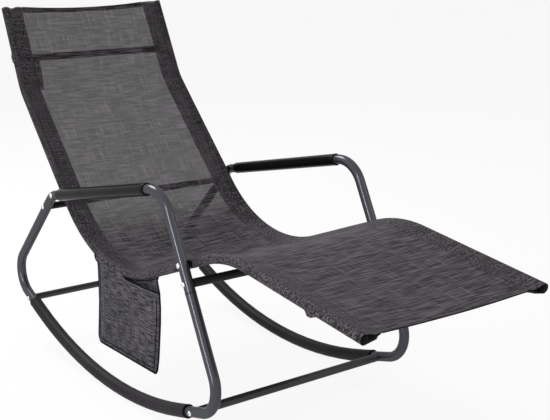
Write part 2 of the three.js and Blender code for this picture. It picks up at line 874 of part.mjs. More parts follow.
// The origin stands on the floor, at the middle of the lounge's length
const extent = new THREE.Box3().setFromObject(lounge);
lounge.position.x = -(extent.min.x + extent.max.x) / 2;
lounge.updateMatrixWorld(true);

export default lounge;
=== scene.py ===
"""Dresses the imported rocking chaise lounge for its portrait.

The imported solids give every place. This script covers them with round tubes, turned fittings, a
sleeved mesh sling and a bound side pocket, gives each a procedural finish, and sets up a plain
studio. Lengths are in metres: +X towards the foot end, +Y to the sitter's left, +Z up.
"""

from __future__ import annotations

import json
import logging
import math
from collections.abc import Sequence
from dataclasses import dataclass, replace
from enum import Enum
from functools import cached_property

import bmesh
import bpy
import numpy as np
from mathutils import Matrix, Vector, noise


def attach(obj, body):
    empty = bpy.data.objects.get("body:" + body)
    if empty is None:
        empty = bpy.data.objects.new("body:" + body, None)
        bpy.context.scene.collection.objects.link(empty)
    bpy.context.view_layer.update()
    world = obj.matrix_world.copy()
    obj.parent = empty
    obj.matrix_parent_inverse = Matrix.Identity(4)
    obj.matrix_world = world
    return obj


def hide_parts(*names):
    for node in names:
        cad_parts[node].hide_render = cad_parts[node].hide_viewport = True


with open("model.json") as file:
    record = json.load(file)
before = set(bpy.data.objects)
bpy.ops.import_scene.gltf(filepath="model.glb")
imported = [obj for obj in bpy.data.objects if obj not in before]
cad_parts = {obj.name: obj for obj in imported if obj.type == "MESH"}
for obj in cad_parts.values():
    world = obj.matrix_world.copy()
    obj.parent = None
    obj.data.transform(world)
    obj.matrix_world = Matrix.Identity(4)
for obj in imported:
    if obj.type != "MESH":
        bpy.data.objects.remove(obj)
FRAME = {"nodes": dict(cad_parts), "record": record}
LOG = logging.getLogger("lounge")
BODY = "root"
Pair = tuple[float, float]
Point = tuple[float, float, float]
Colour = tuple[float, float, float]


class Side(Enum):
    """The two sides of the lounge, by the sign of Y."""

    RIGHT = -1
    LEFT = 1

    @property
    def out(self) -> Vector:
        """The direction away from the lounge."""
        return Vector((0.0, float(self.value), 0.0))

    def node(self, name: str) -> str:
        """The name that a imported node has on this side."""
        return f"{self.name.lower()}_{name}"


class Slot(Enum):
    """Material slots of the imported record."""

    SLATE = "slate_tube"
    CHARCOAL = "charcoal_tube"
    FOAM = "grip_foam"
    PLASTIC = "black_plastic"
    ZINC = "zinc_fastener"
    SLING = "sling_fabric"
    POCKET = "pocket_fabric"


def linear(red: float, green: float, blue: float) -> Colour:
    """Turns a colour written in screen values from 0 to 255 into linear light.

    Args:
        red: Its red.
        green: Its green.
        blue: Its blue.

    Returns:
        The colour.
    """

    def channel(value: float) -> float:
        """One of its channels."""
        share = value / 255
        return share / 12.92 if share <= 0.04045 else ((share + 0.055) / 1.055) ** 2.4

    return channel(red), channel(green), channel(blue)


def between(value: float | np.ndarray, low: float, high: float) -> float | np.ndarray:
    """Share of the way from low to high, held from 0 to 1."""
    return np.clip((value - low) / (high - low), 0.0, 1.0)


def eased(value: float | np.ndarray, low: float, high: float) -> float | np.ndarray:
    """The same share, easing in and out."""
    share = between(value, low, high)
    return share * share * (3 - 2 * share)


def bell(value: float, centre: float, width: float) -> float:
    """A smooth hump of height 1 round a centre."""
    return math.exp(-(((value - centre) / width) ** 2))


# Nodes and shader maths


class Value:
    """A shader socket on which plain arithmetic adds Math nodes."""

    def __init__(self, graph: ShaderGraph, socket: bpy.types.NodeSocket) -> None:
        """Wraps a socket of a graph."""
        self.graph, self.socket = graph, socket

    def __add__(self, other: Value | float) -> Value:
        """Adds."""
        return self.graph.math("ADD", self, other)

    __radd__ = __add__

    def __sub__(self, other: Value | float) -> Value:
        """Takes another value away."""
        return self.graph.math("SUBTRACT", self, other)

    def __rsub__(self, other: float) -> Value:
        """Takes this value away from a number."""
        return self.graph.math("SUBTRACT", other, self)

    def __mul__(self, other: Value | float) -> Value:
        """Multiplies."""
        return self.graph.math("MULTIPLY", self, other)

    __rmul__ = __mul__

    def __abs__(self) -> Value:
        """Drops the sign."""
        return self.graph.math("ABSOLUTE", self)

    def wave(self) -> Value:
        """Sine of the value, in radians."""
        return self.graph.math("SINE", self)

    def step(self, low: float, high: float) -> Value:
        """Rises smoothly from 0 at low to 1 at high.

        Args:
            low: Where it starts to rise.
            high: Where it is at the top.

        Returns:
            The share.
        """
        settings = {"interpolation_type": "SMOOTHSTEP", "clamp": True}
        inputs = {"Value": self, "From Min": low, "From Max": high}
        return self.graph.value("ShaderNodeMapRange", settings, inputs)

    def axis(self, name: str) -> Value:
        """One component of a vector."""
        return Value(self.graph, self.graph.node("ShaderNodeSeparateXYZ", None, {0: self}).outputs[name])


class NodeGraph:
    """Adds nodes to a tree of shaders or of geometry."""

    def __init__(self, tree: bpy.types.NodeTree) -> None:
        """Takes the tree."""
        self.tree = tree

    def node(self, kind: str, settings: dict | None = None, inputs: dict | None = None) -> bpy.types.Node:
        """Adds a node.

        Args:
            kind: The node's type.
            settings: Its settings, which are set first.
            inputs: A value, a socket or a node to link for each named or numbered socket.

        Returns:
            The node.
        """
        node = self.tree.nodes.new(kind)
        for key, value in (settings or {}).items():
            setattr(node, key, value)
        for key, value in (inputs or {}).items():
            socket = node.inputs[key]
            if isinstance(value, Value):
                self.tree.links.new(value.socket, socket)
            elif isinstance(value, bpy.types.Node):
                self.tree.links.new(value.outputs[0], socket)
            elif isinstance(value, bpy.types.NodeSocket):
                self.tree.links.new(value, socket)
            else:
                socket.default_value = (*value, 1.0) if socket.type == "RGBA" else value
        return node


class ShaderGraph(NodeGraph):
    """The shader nodes of one material, or of the world."""

    def __init__(self, holder: bpy.types.Material | bpy.types.World) -> None:
        """Empties the holder's tree.

        Args:
            holder: The material or the world that the nodes are for.
        """
        holder.use_nodes = True
        super().__init__(holder.node_tree)
        self.holder = holder
        self.tree.nodes.clear()

    @classmethod
    def named(cls, name: str) -> ShaderGraph:
        """Starts a new material."""
        return cls(bpy.data.materials.new(name))

    def value(self, kind: str, settings: dict | None = None, inputs: dict | None = None) -> Value:
        """Adds a node and returns its first output."""
        return Value(self, self.node(kind, settings, inputs).outputs[0])

    def math(self, operation: str, *terms: Value | float) -> Value:
        """Adds a Math node."""
        return self.value("ShaderNodeMath", {"operation": operation}, dict(enumerate(terms)))

    def place(self, scale: Point = (1, 1, 1), source: str = "Object") -> Value:
        """The piece's Object coordinates, or its UV map, scaled."""
        found = self.node("ShaderNodeTexCoord").outputs[source]
        return self.value("ShaderNodeMapping", None, {"Vector": found, "Scale": scale})

    def cloud(self, vector: Value, scale: float, detail: float = 2.0) -> Value:
        """Smooth noise from 0 to 1."""
        return self.value("ShaderNodeTexNoise", None, {"Vector": vector, "Scale": scale, "Detail": detail})

    def blend(self, share: Value, first: Colour, second: Colour) -> Value:
        """Mixes two colours.

        Args:
            share: Share of the second colour.
            first: The colour at share 0.
            second: The colour at share 1.

        Returns:
            The mixed colour.
        """
        settings = {"data_type": "RGBA", "clamp_factor": True}
        # Sockets 6 and 7 are the node's two colours, and output 2 is their mix.
        return Value(self, self.node("ShaderNodeMix", settings, {0: share, 6: first, 7: second}).outputs[2])

    def bump(self, height: Value, distance: float, strength: float) -> Value:
        """A normal that follows a height in metres."""
        inputs = {"Height": height, "Distance": distance, "Strength": strength}
        return self.value("ShaderNodeBump", None, inputs)

    def principled(self, **inputs: Value | Colour | float) -> bpy.types.Material:
        """Ends the graph in a Principled surface, its sockets named with underscores for blanks."""
        named = {key.replace("_", " "): value for key, value in inputs.items()}
        return self.surface(self.value("ShaderNodeBsdfPrincipled", None, named))

    def surface(self, shader: Value) -> bpy.types.Material | bpy.types.World:
        """Ends the graph in any shader.

        Args:
            shader: The shader.

        Returns:
            The material or the world.
        """
        kind = "World" if isinstance(self.holder, bpy.types.World) else "Material"
        self.node(f"ShaderNodeOutput{kind}", None, {"Surface": shader})
        return self.holder

    def backdrop(self) -> Value:
        """1 for the rays that should see the plain background, and 0 for those that carry light."""
        rays = self.node("ShaderNodeLightPath").outputs
        kinds = ("Is Camera Ray", "Is Glossy Ray", "Is Transmission Ray")
        camera, glossy, through = (Value(self, rays[kind]) for kind in kinds)
        return self.math("MINIMUM", camera + glossy + through, 1.0)


# Finishes


class Finish:
    """A finish whose material is built once."""

    def material(self) -> bpy.types.Material:
        """Builds the material."""
        raise NotImplementedError

    @cached_property
    def made(self) -> bpy.types.Material:
        """The material."""
        return self.material()


@dataclass(frozen=True)
class PaintedTube(Finish):
    """Powder coat on steel tube."""

    name: str
    colour: Colour
    dust: Colour
    roughness: float
    metallic: float
    gloss: float
    tint: Colour = (0.25, 0.25, 0.25)
    drift: float = 9.0
    speckle: float = 900.0
    peel: float = 420.0
    peel_relief: Pair = (0.00008, 0.15)
    dusty: Pair = (0.35, 0.75)
    dust_share: float = 0.4
    uneven: Pair = (0.05, 0.08)

    def material(self) -> bpy.types.Material:
        """Builds the coat with its orange peel and faint unevenness."""
        graph = ShaderGraph.named(self.name)
        place = graph.place()
        drift = graph.cloud(place, self.drift, detail=3.0)
        speckle = graph.cloud(place, self.speckle, detail=1.0)
        fine, broad = self.uneven
        return graph.principled(
            Base_Color=graph.blend(drift.step(*self.dusty) * self.dust_share, self.colour, self.dust),
            Metallic=self.metallic,
            Specular_IOR_Level=self.gloss,
            Specular_Tint=self.tint,
            Roughness=(speckle - 0.5) * fine + drift * broad + (self.roughness - broad / 2),
            Normal=graph.bump(graph.cloud(place, self.peel), *self.peel_relief),
        )


@dataclass(frozen=True)
class FineGrain(Finish):
    """A finish with one fine grain, as on moulded plastic, zinc plate, tape and thread.

    grain holds features a metre and octaves, rough the lowest roughness and what the grain adds,
    relief the depth and strength of its bumps, and contrast the span of the grain that shows.
    """

    name: str
    low: Colour
    high: Colour
    grain: Pair
    rough: Pair
    relief: Pair
    gloss: float = 0.5
    metallic: float = 0.0
    contrast: Pair | None = None

    def material(self) -> bpy.types.Material:
        """Builds the grain."""
        graph = ShaderGraph.named(self.name)
        grain = graph.cloud(graph.place(), *self.grain)
        share = grain.step(*self.contrast) if self.contrast else grain
        return graph.principled(
            Base_Color=graph.blend(share, self.low, self.high),
            Metallic=self.metallic,
            Specular_IOR_Level=self.gloss,
            Roughness=grain * self.rough[1] + self.rough[0],
            Normal=graph.bump(grain, *self.relief),
        )


@dataclass(frozen=True)
class Foam(Finish):
    """Closed-cell foam with a rubbed skin."""

    colour: Colour = linear(15, 13, 15)
    worn: Colour = linear(25, 22, 25)
    cells: float = 950.0
    patches: float = 26.0
    rough: Pair = (0.13, 0.1)
    relief: Pair = (0.0001, 0.2)
    gloss: float = 0.06
    rubbed: Pair = (0.4, 0.8)
    rub_share: float = 0.5

    def material(self) -> bpy.types.Material:
        """Builds the foam with its fine cells."""
        graph = ShaderGraph.named("grip foam")
        place = graph.place()
        cells = graph.value("ShaderNodeTexVoronoi", None, {"Vector": place, "Scale": self.cells})
        rubbed = graph.cloud(place, self.patches, detail=3.0).step(*self.rubbed) * self.rub_share
        return graph.principled(
            Base_Color=graph.blend(rubbed, self.colour, self.worn),
            Roughness=cells * self.rough[1] + self.rough[0],
            Specular_IOR_Level=self.gloss,
            Normal=graph.bump(cells, *self.relief),
        )


@dataclass(frozen=True)
class MeshCloth(Finish):
    """Coated mesh woven from yarns of uneven grey.

    see_through is the share of light that one face lets by before and after fade, two places along
    the cut. Past single, a distance from the middle, the cloth lies double, its streaks break up and
    a painted shade darkens it.
    weft, warp, fibres, slubs, blotches, grain and checks are features a metre across and along it.
    grain_weights and rough hold a value and what the varying part adds, bump_weights the shares of
    weave and tone, and gaps the open share and what warp, fibres and yarns change in it.
    """

    name: str
    size: Pair
    dark: Colour
    light: Colour
    see_through: Pair = (0.03, 0.03)
    fade: Pair = (0.0, 1.0)
    single: float = 1.0
    weft: Pair = (17, 430)
    slub: float = 1.5
    blotch: float = 0.5
    warp: Pair = (230, 14)
    fibres: Pair = (400, 14)
    slubs: Pair = (12, 110)
    blotches: Pair = (5, 16)
    grain: Pair = (250, 250)
    checks: Pair = (150, 200)
    warp_span: Pair = (0.56, 0.7)
    warp_weight: float = 0.5
    weft_weight: float = 4.2
    fibre_weight: float = 1.6
    grain_weights: Pair = (0.5, 2.0)
    check_weight: float = 1.7
    level: float = 0.14
    doubled_calm: float = 0.6
    doubled_painted_shade: float = 0.12
    overlap: float = 0.004
    pitch: float = 0.0014
    rough: Pair = (0.62, 0.1)
    gaps: tuple[float, float, float, float] = (0.97, 0.16, 0.12, 0.03)
    bump_weights: Pair = (0.5, 0.25)
    relief: Pair = (0.0004, 0.3)
    gloss: float = 0.15

    def _noise(self, graph: ShaderGraph, features: Pair, detail: float = 1.5) -> Value:
        """Noise about zero with so many features a metre across and along the cut."""
        scale = (self.size[0] * features[0], self.size[1] * features[1], 1.0)
        return graph.cloud(graph.place(scale, "UV"), 1.0, detail) - 0.5

    def material(self) -> bpy.types.Material:
        """Builds the yarns, their streaks and the light between them on a UV map of the cut."""
        graph = ShaderGraph.named(self.name)
        place = graph.place((*self.size, 1.0), "UV")
        across, along = place.axis("X"), place.axis("Y")
        doubled = abs(across - self.size[0] / 2).step(self.single, self.single + self.overlap)
        warp = (self._noise(graph, self.warp) + 0.5).step(*self.warp_span)
        slubs = self._noise(graph, self.slubs, 1.0) * self.slub
        weft = self._noise(graph, self.weft, 1.0) * self.weft_weight + slubs
        fine = self._noise(graph, self.fibres) * self.fibre_weight
        blotches = self._noise(graph, self.blotches) * self.blotch
        streaks = weft + fine + warp * self.warp_weight + blotches - self.level
        single, double = self.grain_weights
        grain = self._noise(graph, self.grain, 1.0) * (doubled * double + single)
        checks = self._noise(graph, self.checks, 3.0) * doubled * self.check_weight
        yarns = streaks * (1 - doubled * self.doubled_calm) + grain + checks
        # Painted shade: the tone darkens where the cloth lies double.
        tone = yarns - doubled * self.doubled_painted_shade + 0.5
        turn = 2 * math.pi / self.pitch
        weave, relief = self.bump_weights
        rise = (across * turn).wave() * (along * turn).wave() * weave + tone * relief
        before, after = self.see_through
        share = along.step(*self.fade) * (after - before) + before
        even, by_warp, by_fibre, by_yarn = self.gaps
        return graph.principled(
            Base_Color=graph.blend(tone.step(0.0, 1.0), self.dark, self.light),
            Roughness=tone * self.rough[1] + self.rough[0],
            Specular_IOR_Level=self.gloss,
            Alpha=1 - share * (warp * by_warp + fine * by_fibre - yarns * by_yarn + even),
            Normal=graph.bump(rise, *self.relief),
        )


@dataclass(frozen=True)
class HemCloth(Finish):
    """Folded hem, with painted shade along its two seams and a lighter roll between them."""

    dark: Colour = linear(20, 18, 20)
    light: Colour = linear(58, 56, 58)
    ribs: Point = (90.0, 700.0, 700.0)
    rise: Pair = (0.05, 0.4)
    fall: Pair = (0.6, 0.95)
    ribbing: Pair = (0.75, 1.2)
    rough: Pair = (0.6, 0.2)
    relief: Pair = (0.0003, 0.4)
    gloss: float = 0.12

    def material(self) -> bpy.types.Material:
        """Builds the hem's roll between its seams, which lie at the ends of V, with painted shade at both."""
        graph = ShaderGraph.named("hem cloth")
        run = graph.place(source="UV").axis("Y")
        # Painted shade: the colour darkens towards the seams at both ends of V.
        roll = run.step(*self.rise) * (1 - run.step(*self.fall))
        ribs = graph.cloud(graph.place(self.ribs), 1.0)
        even, ribbed = self.ribbing
        return graph.principled(
            Base_Color=graph.blend(roll * ((ribs - 0.5) * ribbed + even), self.dark, self.light),
            Roughness=ribs * self.rough[1] + self.rough[0],
            Specular_IOR_Level=self.gloss,
            Normal=graph.bump(ribs, *self.relief),
        )


SLATE = PaintedTube(
    "slate powder coat", linear(73, 74, 79), linear(78, 79, 83), roughness=0.22, metallic=0.55, gloss=0.5
)
# A lighter copy of the charcoal paint for the cross tubes in light: painted light.
LIT_CROSS_TUBE_COAT = PaintedTube(
    "cross tube coat", linear(66, 64, 67), linear(74, 72, 75), roughness=0.33, metallic=0.45, gloss=0.3
)
CHARCOAL = PaintedTube(
    "charcoal powder coat", linear(40, 37, 40), linear(54, 51, 54), roughness=0.5, metallic=0.3, gloss=0.2
)
FOAM = Foam()
PLASTIC = FineGrain(
    "moulded plastic", linear(8, 8, 9), linear(15, 14, 16),
    grain=(1300.0, 2.0), rough=(0.42, 0.2), relief=(0.0001, 0.4), gloss=0.05,
)
ZINC = FineGrain(
    "zinc plate", linear(226, 228, 230), linear(208, 210, 212),
    grain=(350.0, 3.0), rough=(0.2, 0.16), relief=(0.00008, 0.3), metallic=0.85,
)
TAPE = FineGrain(
    "binding tape", linear(5, 5, 5), linear(12, 11, 12),
    grain=(1500.0, 2.0), rough=(0.6, 0.2), relief=(0.0002, 0.5), gloss=0.06, contrast=(0.3, 0.7),
)
# A light tape along the rolled fold below the pocket's mouth: painted highlight.
FOLD_HIGHLIGHT = replace(TAPE, name="fold cloth", low=linear(88, 85, 89), high=linear(110, 106, 111))
THREAD = FineGrain(
    "dark thread", linear(28, 27, 29), linear(37, 36, 38),
    grain=(2600.0, 1.0), rough=(0.5, 0.2), relief=(0.0001, 0.5),
)
HEM = HemCloth()


# Side-plane geometry


def unit(vector: np.ndarray) -> np.ndarray:
    """A vector of length one."""
    return vector / np.linalg.norm(vector)


def heading(degrees: float) -> np.ndarray:
    """Direction in the side plane, in degrees above +X."""
    return np.array([math.cos(math.radians(degrees)), math.sin(math.radians(degrees))])


def left_of(direction: np.ndarray) -> np.ndarray:
    """The direction turned a quarter turn to the left."""
    return np.array([-direction[1], direction[0]])


def cross(first: np.ndarray, second: np.ndarray) -> float:
    """Cross product in the side plane."""
    return float(first[0] * second[1] - first[1] * second[0])


def turn_between(first: np.ndarray, second: np.ndarray) -> float:
    """Angle from one direction to another, to the left."""
    return math.atan2(cross(first, second), float(first @ second))


def meeting(point: np.ndarray, way: np.ndarray, other: np.ndarray, other_way: np.ndarray) -> np.ndarray:
    """Where the line from a point meets the line from another point."""
    return point + way * (cross(other - point, other_way) / cross(way, other_way))


def at_y(place: np.ndarray, y: float = 0.0) -> Vector:
    """A side-plane place at a sideways place, or a side-plane direction."""
    return Vector((place[0], y, place[1]))


@dataclass(frozen=True)
class Station:
    """A place on a side path, with the way it runs there."""

    point: np.ndarray
    way: np.ndarray

    @property
    def up(self) -> np.ndarray:
        """Direction off the path, upwards where it runs forward."""
        return left_of(self.way)


class SidePath:
    """A bent line in a side plane: straights joined by arcs."""

    def __init__(self, corners: Sequence[np.ndarray], radii: Sequence[float]) -> None:
        """Rounds the inner corners by the radii.

        Args:
            corners: The ends and the corners between them.
            radii: Bend radius at each inner corner.
        """
        self.parts: list[tuple[float, Station, float, float]] = []
        self.length = 0.0
        here = corners[0]
        for index, radius in enumerate(radii, start=1):
            corner = corners[index]
            into, out = unit(corner - corners[index - 1]), unit(corners[index + 1] - corner)
            turn = turn_between(into, out)
            cut = radius * math.tan(abs(turn) / 2)
            self._add(here, into, float(np.linalg.norm(corner - into * cut - here)))
            self._add(corner - into * cut, into, radius * abs(turn), math.copysign(1 / radius, turn))
            here = corner + out * cut
        self._add(here, unit(corners[-1] - here), float(np.linalg.norm(corners[-1] - here)))

    def _add(self, start: np.ndarray, way: np.ndarray, length: float, bend: float = 0.0) -> None:
        """Adds a straight, or an arc where bend isn't zero."""
        self.parts.append((self.length, Station(start, way), length, bend))
        self.length += length

    def at(self, distance: float) -> Station:
        """The station at a distance along the path, or straight on past its ends.

        Args:
            distance: Distance from the start.

        Returns:
            The station.
        """
        passed = [part for part in self.parts if distance >= part[0]] or self.parts[:1]
        before, start, _, bend = passed[-1]
        run = distance - before
        if not bend:
            return Station(start.point + start.way * run, start.way)
        turned = start.way * math.cos(run * bend) + start.up * math.sin(run * bend)
        return Station(start.point + (start.up - left_of(turned)) / bend, turned)

    def marks(self, arc_step: float, straight_step: float = 0.03) -> list[float]:
        """Distances that follow the bends closely.

        Args:
            arc_step: Degrees between marks on an arc.
            straight_step: Largest space between marks on a straight.

        Returns:
            The distances in order.
        """
        found = [0.0]
        for before, _, length, bend in self.parts:
            turn = abs(math.degrees(length * bend))
            steps = max(1, round(turn / arc_step) if bend else math.ceil(length / straight_step))
            found += [before + length * step / steps for step in range(1, steps + 1)]
        return found


@dataclass(frozen=True)
class Layout:
    """Every named place of the lounge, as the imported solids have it."""

    contact_x: float
    frame_y: float = 0.280
    hoop_radius: float = 0.0125
    rail_radius: float = 0.016
    rocker_radius: float = 1.0745
    rear_reach: float = 0.455
    front_reach: float = 0.320
    socket: float = 0.034
    insertion: float = 0.028
    arm_rear: Pair = (-0.3147, 0.4460)
    arm_front: Pair = (0.2321, 0.5649)
    upright_angle: float = 45.5
    leg_angle: float = 63.4
    rear_top_bend: float = 0.058
    front_top_bend: float = 0.080
    rear_straight: float = 0.0444
    front_straight: float = 0.0625
    seam_height: float = 0.3505
    seam_gap: float = 0.0004
    slim_cross_radius: float = 0.009
    cross_radius: float = 0.010
    rear_cross_reach: float = 0.019
    front_cross_reach: float = 0.027
    middle_cross_drop: float = 0.220
    back_cross_drop: float = 0.051
    seat_y: float = 0.250
    seat_rail_radius: float = 0.010
    seat_bolt_reach: float = 0.0159
    seat_bends: tuple[float, float, float] = (0.140, 0.360, 0.316)
    head_angle: float = 64.8
    back_angle: float = 46.8
    thigh_angle: float = 20.9
    calf_angle: float = 7.46
    head_length: float = 0.2314
    bolt_to_kink: float = 0.339
    back_length: float = 0.6173
    thigh_length: float = 0.5784
    calf_length: float = 0.444
    head_inset: float = 0.012
    inset_rise: float = 0.6
    inset_reach: float = 0.203

    def spot(self, place: Pair) -> np.ndarray:
        """A place measured from the floor contact, in the row's frame."""
        return np.array([place[0] + self.contact_x, place[1]])

    def _rail_end(self, reach: float) -> Station:
        """The end of the rocker's straight socket, running outwards.

        Args:
            reach: X of the arc's end from the floor contact.

        Returns:
            The station.
        """
        tip = math.hypot(self.rocker_radius, self.socket)
        angle = math.asin(abs(reach) / tip) - math.atan2(self.socket, self.rocker_radius)
        sign = math.copysign(1.0, reach)
        way = np.array([sign * math.cos(angle), math.sin(angle)])
        out = np.array([sign * math.sin(angle), -math.cos(angle)])
        centre = self.spot((0.0, self.rocker_radius + self.rail_radius))
        return Station(centre + out * self.rocker_radius + way * self.socket, way)

    @cached_property
    def rail_rear(self) -> Station:
        """Rear end of the rocker rail."""
        return self._rail_end(-self.rear_reach)

    @cached_property
    def rail_front(self) -> Station:
        """Front end of the rocker rail."""
        return self._rail_end(self.front_reach)

    @cached_property
    def rocker(self) -> SidePath:
        """Centre line of the rocker rail."""
        rear, front = self.rail_rear, self.rail_front
        corner = meeting(rear.point, rear.way, front.point, front.way)
        return SidePath([rear.point, corner, front.point], [self.rocker_radius])

    @cached_property
    def rear_top(self) -> np.ndarray:
        """Corner between the upright and the armrest."""
        return self.spot(self.arm_rear)

    @cached_property
    def front_top(self) -> np.ndarray:
        """Corner between the armrest and the front leg."""
        return self.spot(self.arm_front)

    @cached_property
    def arm_way(self) -> np.ndarray:
        """The way the armrest runs, forwards."""
        return unit(self.front_top - self.rear_top)

    @cached_property
    def upright_way(self) -> np.ndarray:
        """The way the upright runs, up and forwards."""
        return heading(self.upright_angle)

    @cached_property
    def leg_way(self) -> np.ndarray:
        """The way the front leg runs, down and forwards."""
        return heading(-self.leg_angle)

    @cached_property
    def seam(self) -> np.ndarray:
        """Where the lower leg meets the hoop."""
        drop = self.arm_front[1] - self.seam_height
        return self.front_top + self.leg_way * drop / math.sin(math.radians(self.leg_angle))

    def _bottom_bend(self, end: Station, corner: np.ndarray, out: np.ndarray, straight: float) -> float:
        """Radius of a bottom bend that starts a straight length past the rail's end."""
        half = abs(turn_between(end.way, out)) / 2
        return (float(np.linalg.norm(corner - end.point)) - straight) / math.tan(half)

    @cached_property
    def hoop(self) -> SidePath:
        """Centre line of the hoop, from the rear bush to the leg seam."""
        end = self.rail_rear
        corner = meeting(end.point, end.way, self.rear_top, self.upright_way)
        bend = self._bottom_bend(end, corner, self.upright_way, self.rear_straight)
        corners = [end.point - end.way * self.insertion, corner, self.rear_top, self.front_top, self.seam]
        return SidePath(corners, [bend, self.rear_top_bend, self.front_top_bend])

    @cached_property
    def leg(self) -> SidePath:
        """Centre line of the lower leg, from the seam to the front bush."""
        end = self.rail_front
        corner = meeting(self.front_top, self.leg_way, end.point, end.way)
        bend = self._bottom_bend(end, corner, -self.leg_way, self.front_straight)
        start = self.seam + self.leg_way * self.seam_gap
        return SidePath([start, corner, end.point - end.way * self.insertion], [bend])

    @cached_property
    def cross_tubes(self) -> dict[str, tuple[np.ndarray, float]]:
        """Place and radius of each cross tube."""
        rear, front, slim, stout = self.rail_rear, self.rail_front, self.slim_cross_radius, self.cross_radius
        return {
            "rear_cross_tube": (rear.point + rear.way * self.rear_cross_reach, slim),
            "front_cross_tube": (front.point + front.way * self.front_cross_reach, stout),
            "middle_cross_tube": (self.front_top + self.leg_way * self.middle_cross_drop, stout),
            "back_cross_tube": (self.rear_top - self.upright_way * self.back_cross_drop, slim),
        }

    @cached_property
    def seat_corners(self) -> list[np.ndarray]:
        """Head end, kink, valley, knee and foot end of the seat rail."""
        back = heading(180 - self.back_angle)
        kink = self.rear_top + self.arm_way * self.seat_bolt_reach + back * self.bolt_to_kink
        valley = kink - back * self.back_length
        knee = valley + heading(self.thigh_angle) * self.thigh_length
        head = kink + heading(180 - self.head_angle) * self.head_length
        return [head, kink, valley, knee, knee + heading(-self.calf_angle) * self.calf_length]

    @cached_property
    def seat(self) -> SidePath:
        """Centre line of the seat rail, from head to foot."""
        return SidePath(self.seat_corners, self.seat_bends)

    @cached_property
    def seat_bolts(self) -> dict[str, np.ndarray]:
        """Where the seat rail is bolted to the side frame."""
        thigh = heading(self.thigh_angle)
        return {
            "back": self.rear_top + self.arm_way * self.seat_bolt_reach,
            "front": meeting(self.front_top, self.leg_way, self.seat_corners[2], thigh),
        }

    def drawn_in(self, point: np.ndarray, y: float) -> float:
        """The sideways place of a seat point, where the head ends are drawn together.

        Args:
            point: Its place in the side plane.
            y: Its sideways place before that.

        Returns:
            Its sideways place.
        """
        behind = point[0] < self.seat_corners[2][0]
        rise = max(0.0, point[1] - self.seat_bolts["back"][1]) if behind else 0.0
        inset = self.head_inset * rise / self.inset_rise
        return y - math.copysign(inset * min(1.0, abs(y) / self.inset_reach), y)


# Mesh makers

# Angles through a quarter round
QUARTER = np.linspace(0.0, math.pi / 2, 9)


def link(name: str, data: bpy.types.ID) -> bpy.types.Object:
    """Puts an object with this data in the scene.

    Args:
        name: The object's name.
        data: Its data.

    Returns:
        The object.
    """
    piece = bpy.data.objects.new(name, data)
    bpy.context.scene.collection.objects.link(piece)
    return piece


def mesh_of(name: str, points: Sequence[Point], edges: Sequence = (), faces: Sequence = ()) -> bpy.types.Mesh:
    """A mesh of points with their edges or faces.

    Args:
        name: The mesh's name.
        points: Its points.
        edges: Pairs of point numbers.
        faces: Point numbers of each face.

    Returns:
        The mesh.
    """
    mesh = bpy.data.meshes.new(name)
    mesh.from_pydata([tuple(point) for point in points], edges, faces)
    return mesh


def shade(mesh: bpy.types.Mesh, crease: float) -> None:
    """Shades a mesh smooth up to a crease angle in degrees."""
    mesh.shade_smooth()
    mesh.set_sharp_from_angle(angle=math.radians(crease))


def make_plain(piece: bpy.types.Object) -> bpy.types.Object:
    """Turns the modifiers of a piece into its plain mesh.

    Args:
        piece: The object.

    Returns:
        The same object.
    """
    graph = bpy.context.evaluated_depsgraph_get()
    made = bpy.data.meshes.new_from_object(piece.evaluated_get(graph), depsgraph=graph)
    old = piece.data
    piece.modifiers.clear()
    piece.data = made
    bpy.data.meshes.remove(old)
    made.name = piece.name
    return piece


def loft(
    name: str, rings: Sequence[Sequence[Vector]], closed: bool, crease: float = 35.0
) -> bpy.types.Object:
    """Skins a row of rings.

    Args:
        name: The piece's name.
        rings: Points of each ring, or one point where the skin comes to a tip.
        closed: Whether the last ring joins the first. Otherwise both get a cap.
        crease: Sharpest smooth angle in degrees.

    Returns:
        The object.
    """
    build = bmesh.new()
    loops = [[build.verts.new(Vector(point)) for point in ring] for ring in rings]
    for first, second in zip(loops, loops[1:] + ([loops[0]] if closed else [])):
        for index in range(max(len(first), len(second))):
            corners = [first[index % len(first)], first[(index + 1) % len(first)]]
            corners += [second[(index + 1) % len(second)], second[index % len(second)]]
            build.faces.new(list(dict.fromkeys(corners)))
    for loop in [] if closed else [loops[0], loops[-1]]:
        if len(loop) > 2:
            build.faces.new(loop)
    bmesh.ops.recalc_face_normals(build, faces=build.faces)
    mesh = bpy.data.meshes.new(name)
    build.to_mesh(mesh)
    build.free()
    shade(mesh, crease)
    return link(name, mesh)


def turned(
    name: str, profile: Sequence[Pair], origin: Vector, axis: Vector, segments: int = 48
) -> bpy.types.Object:
    """Turns a profile round an axis.

    Args:
        name: The piece's name.
        profile: Radius and height pairs, closed unless it runs from axis to axis.
        origin: Where height zero lies on the axis.
        axis: The axis.
        segments: Steps round it.

    Returns:
        The object.
    """
    turn = axis.normalized().to_track_quat("Z", "Y").to_matrix()
    rings = []
    for radius, height in profile:
        angles = [2 * math.pi * index / segments for index in range(segments if radius else 1)]
        flat = [(radius * math.cos(angle), radius * math.sin(angle), height) for angle in angles]
        rings.append([origin + turn @ Vector(place) for place in flat])
    return loft(name, rings, closed=len(rings[0]) > 1)


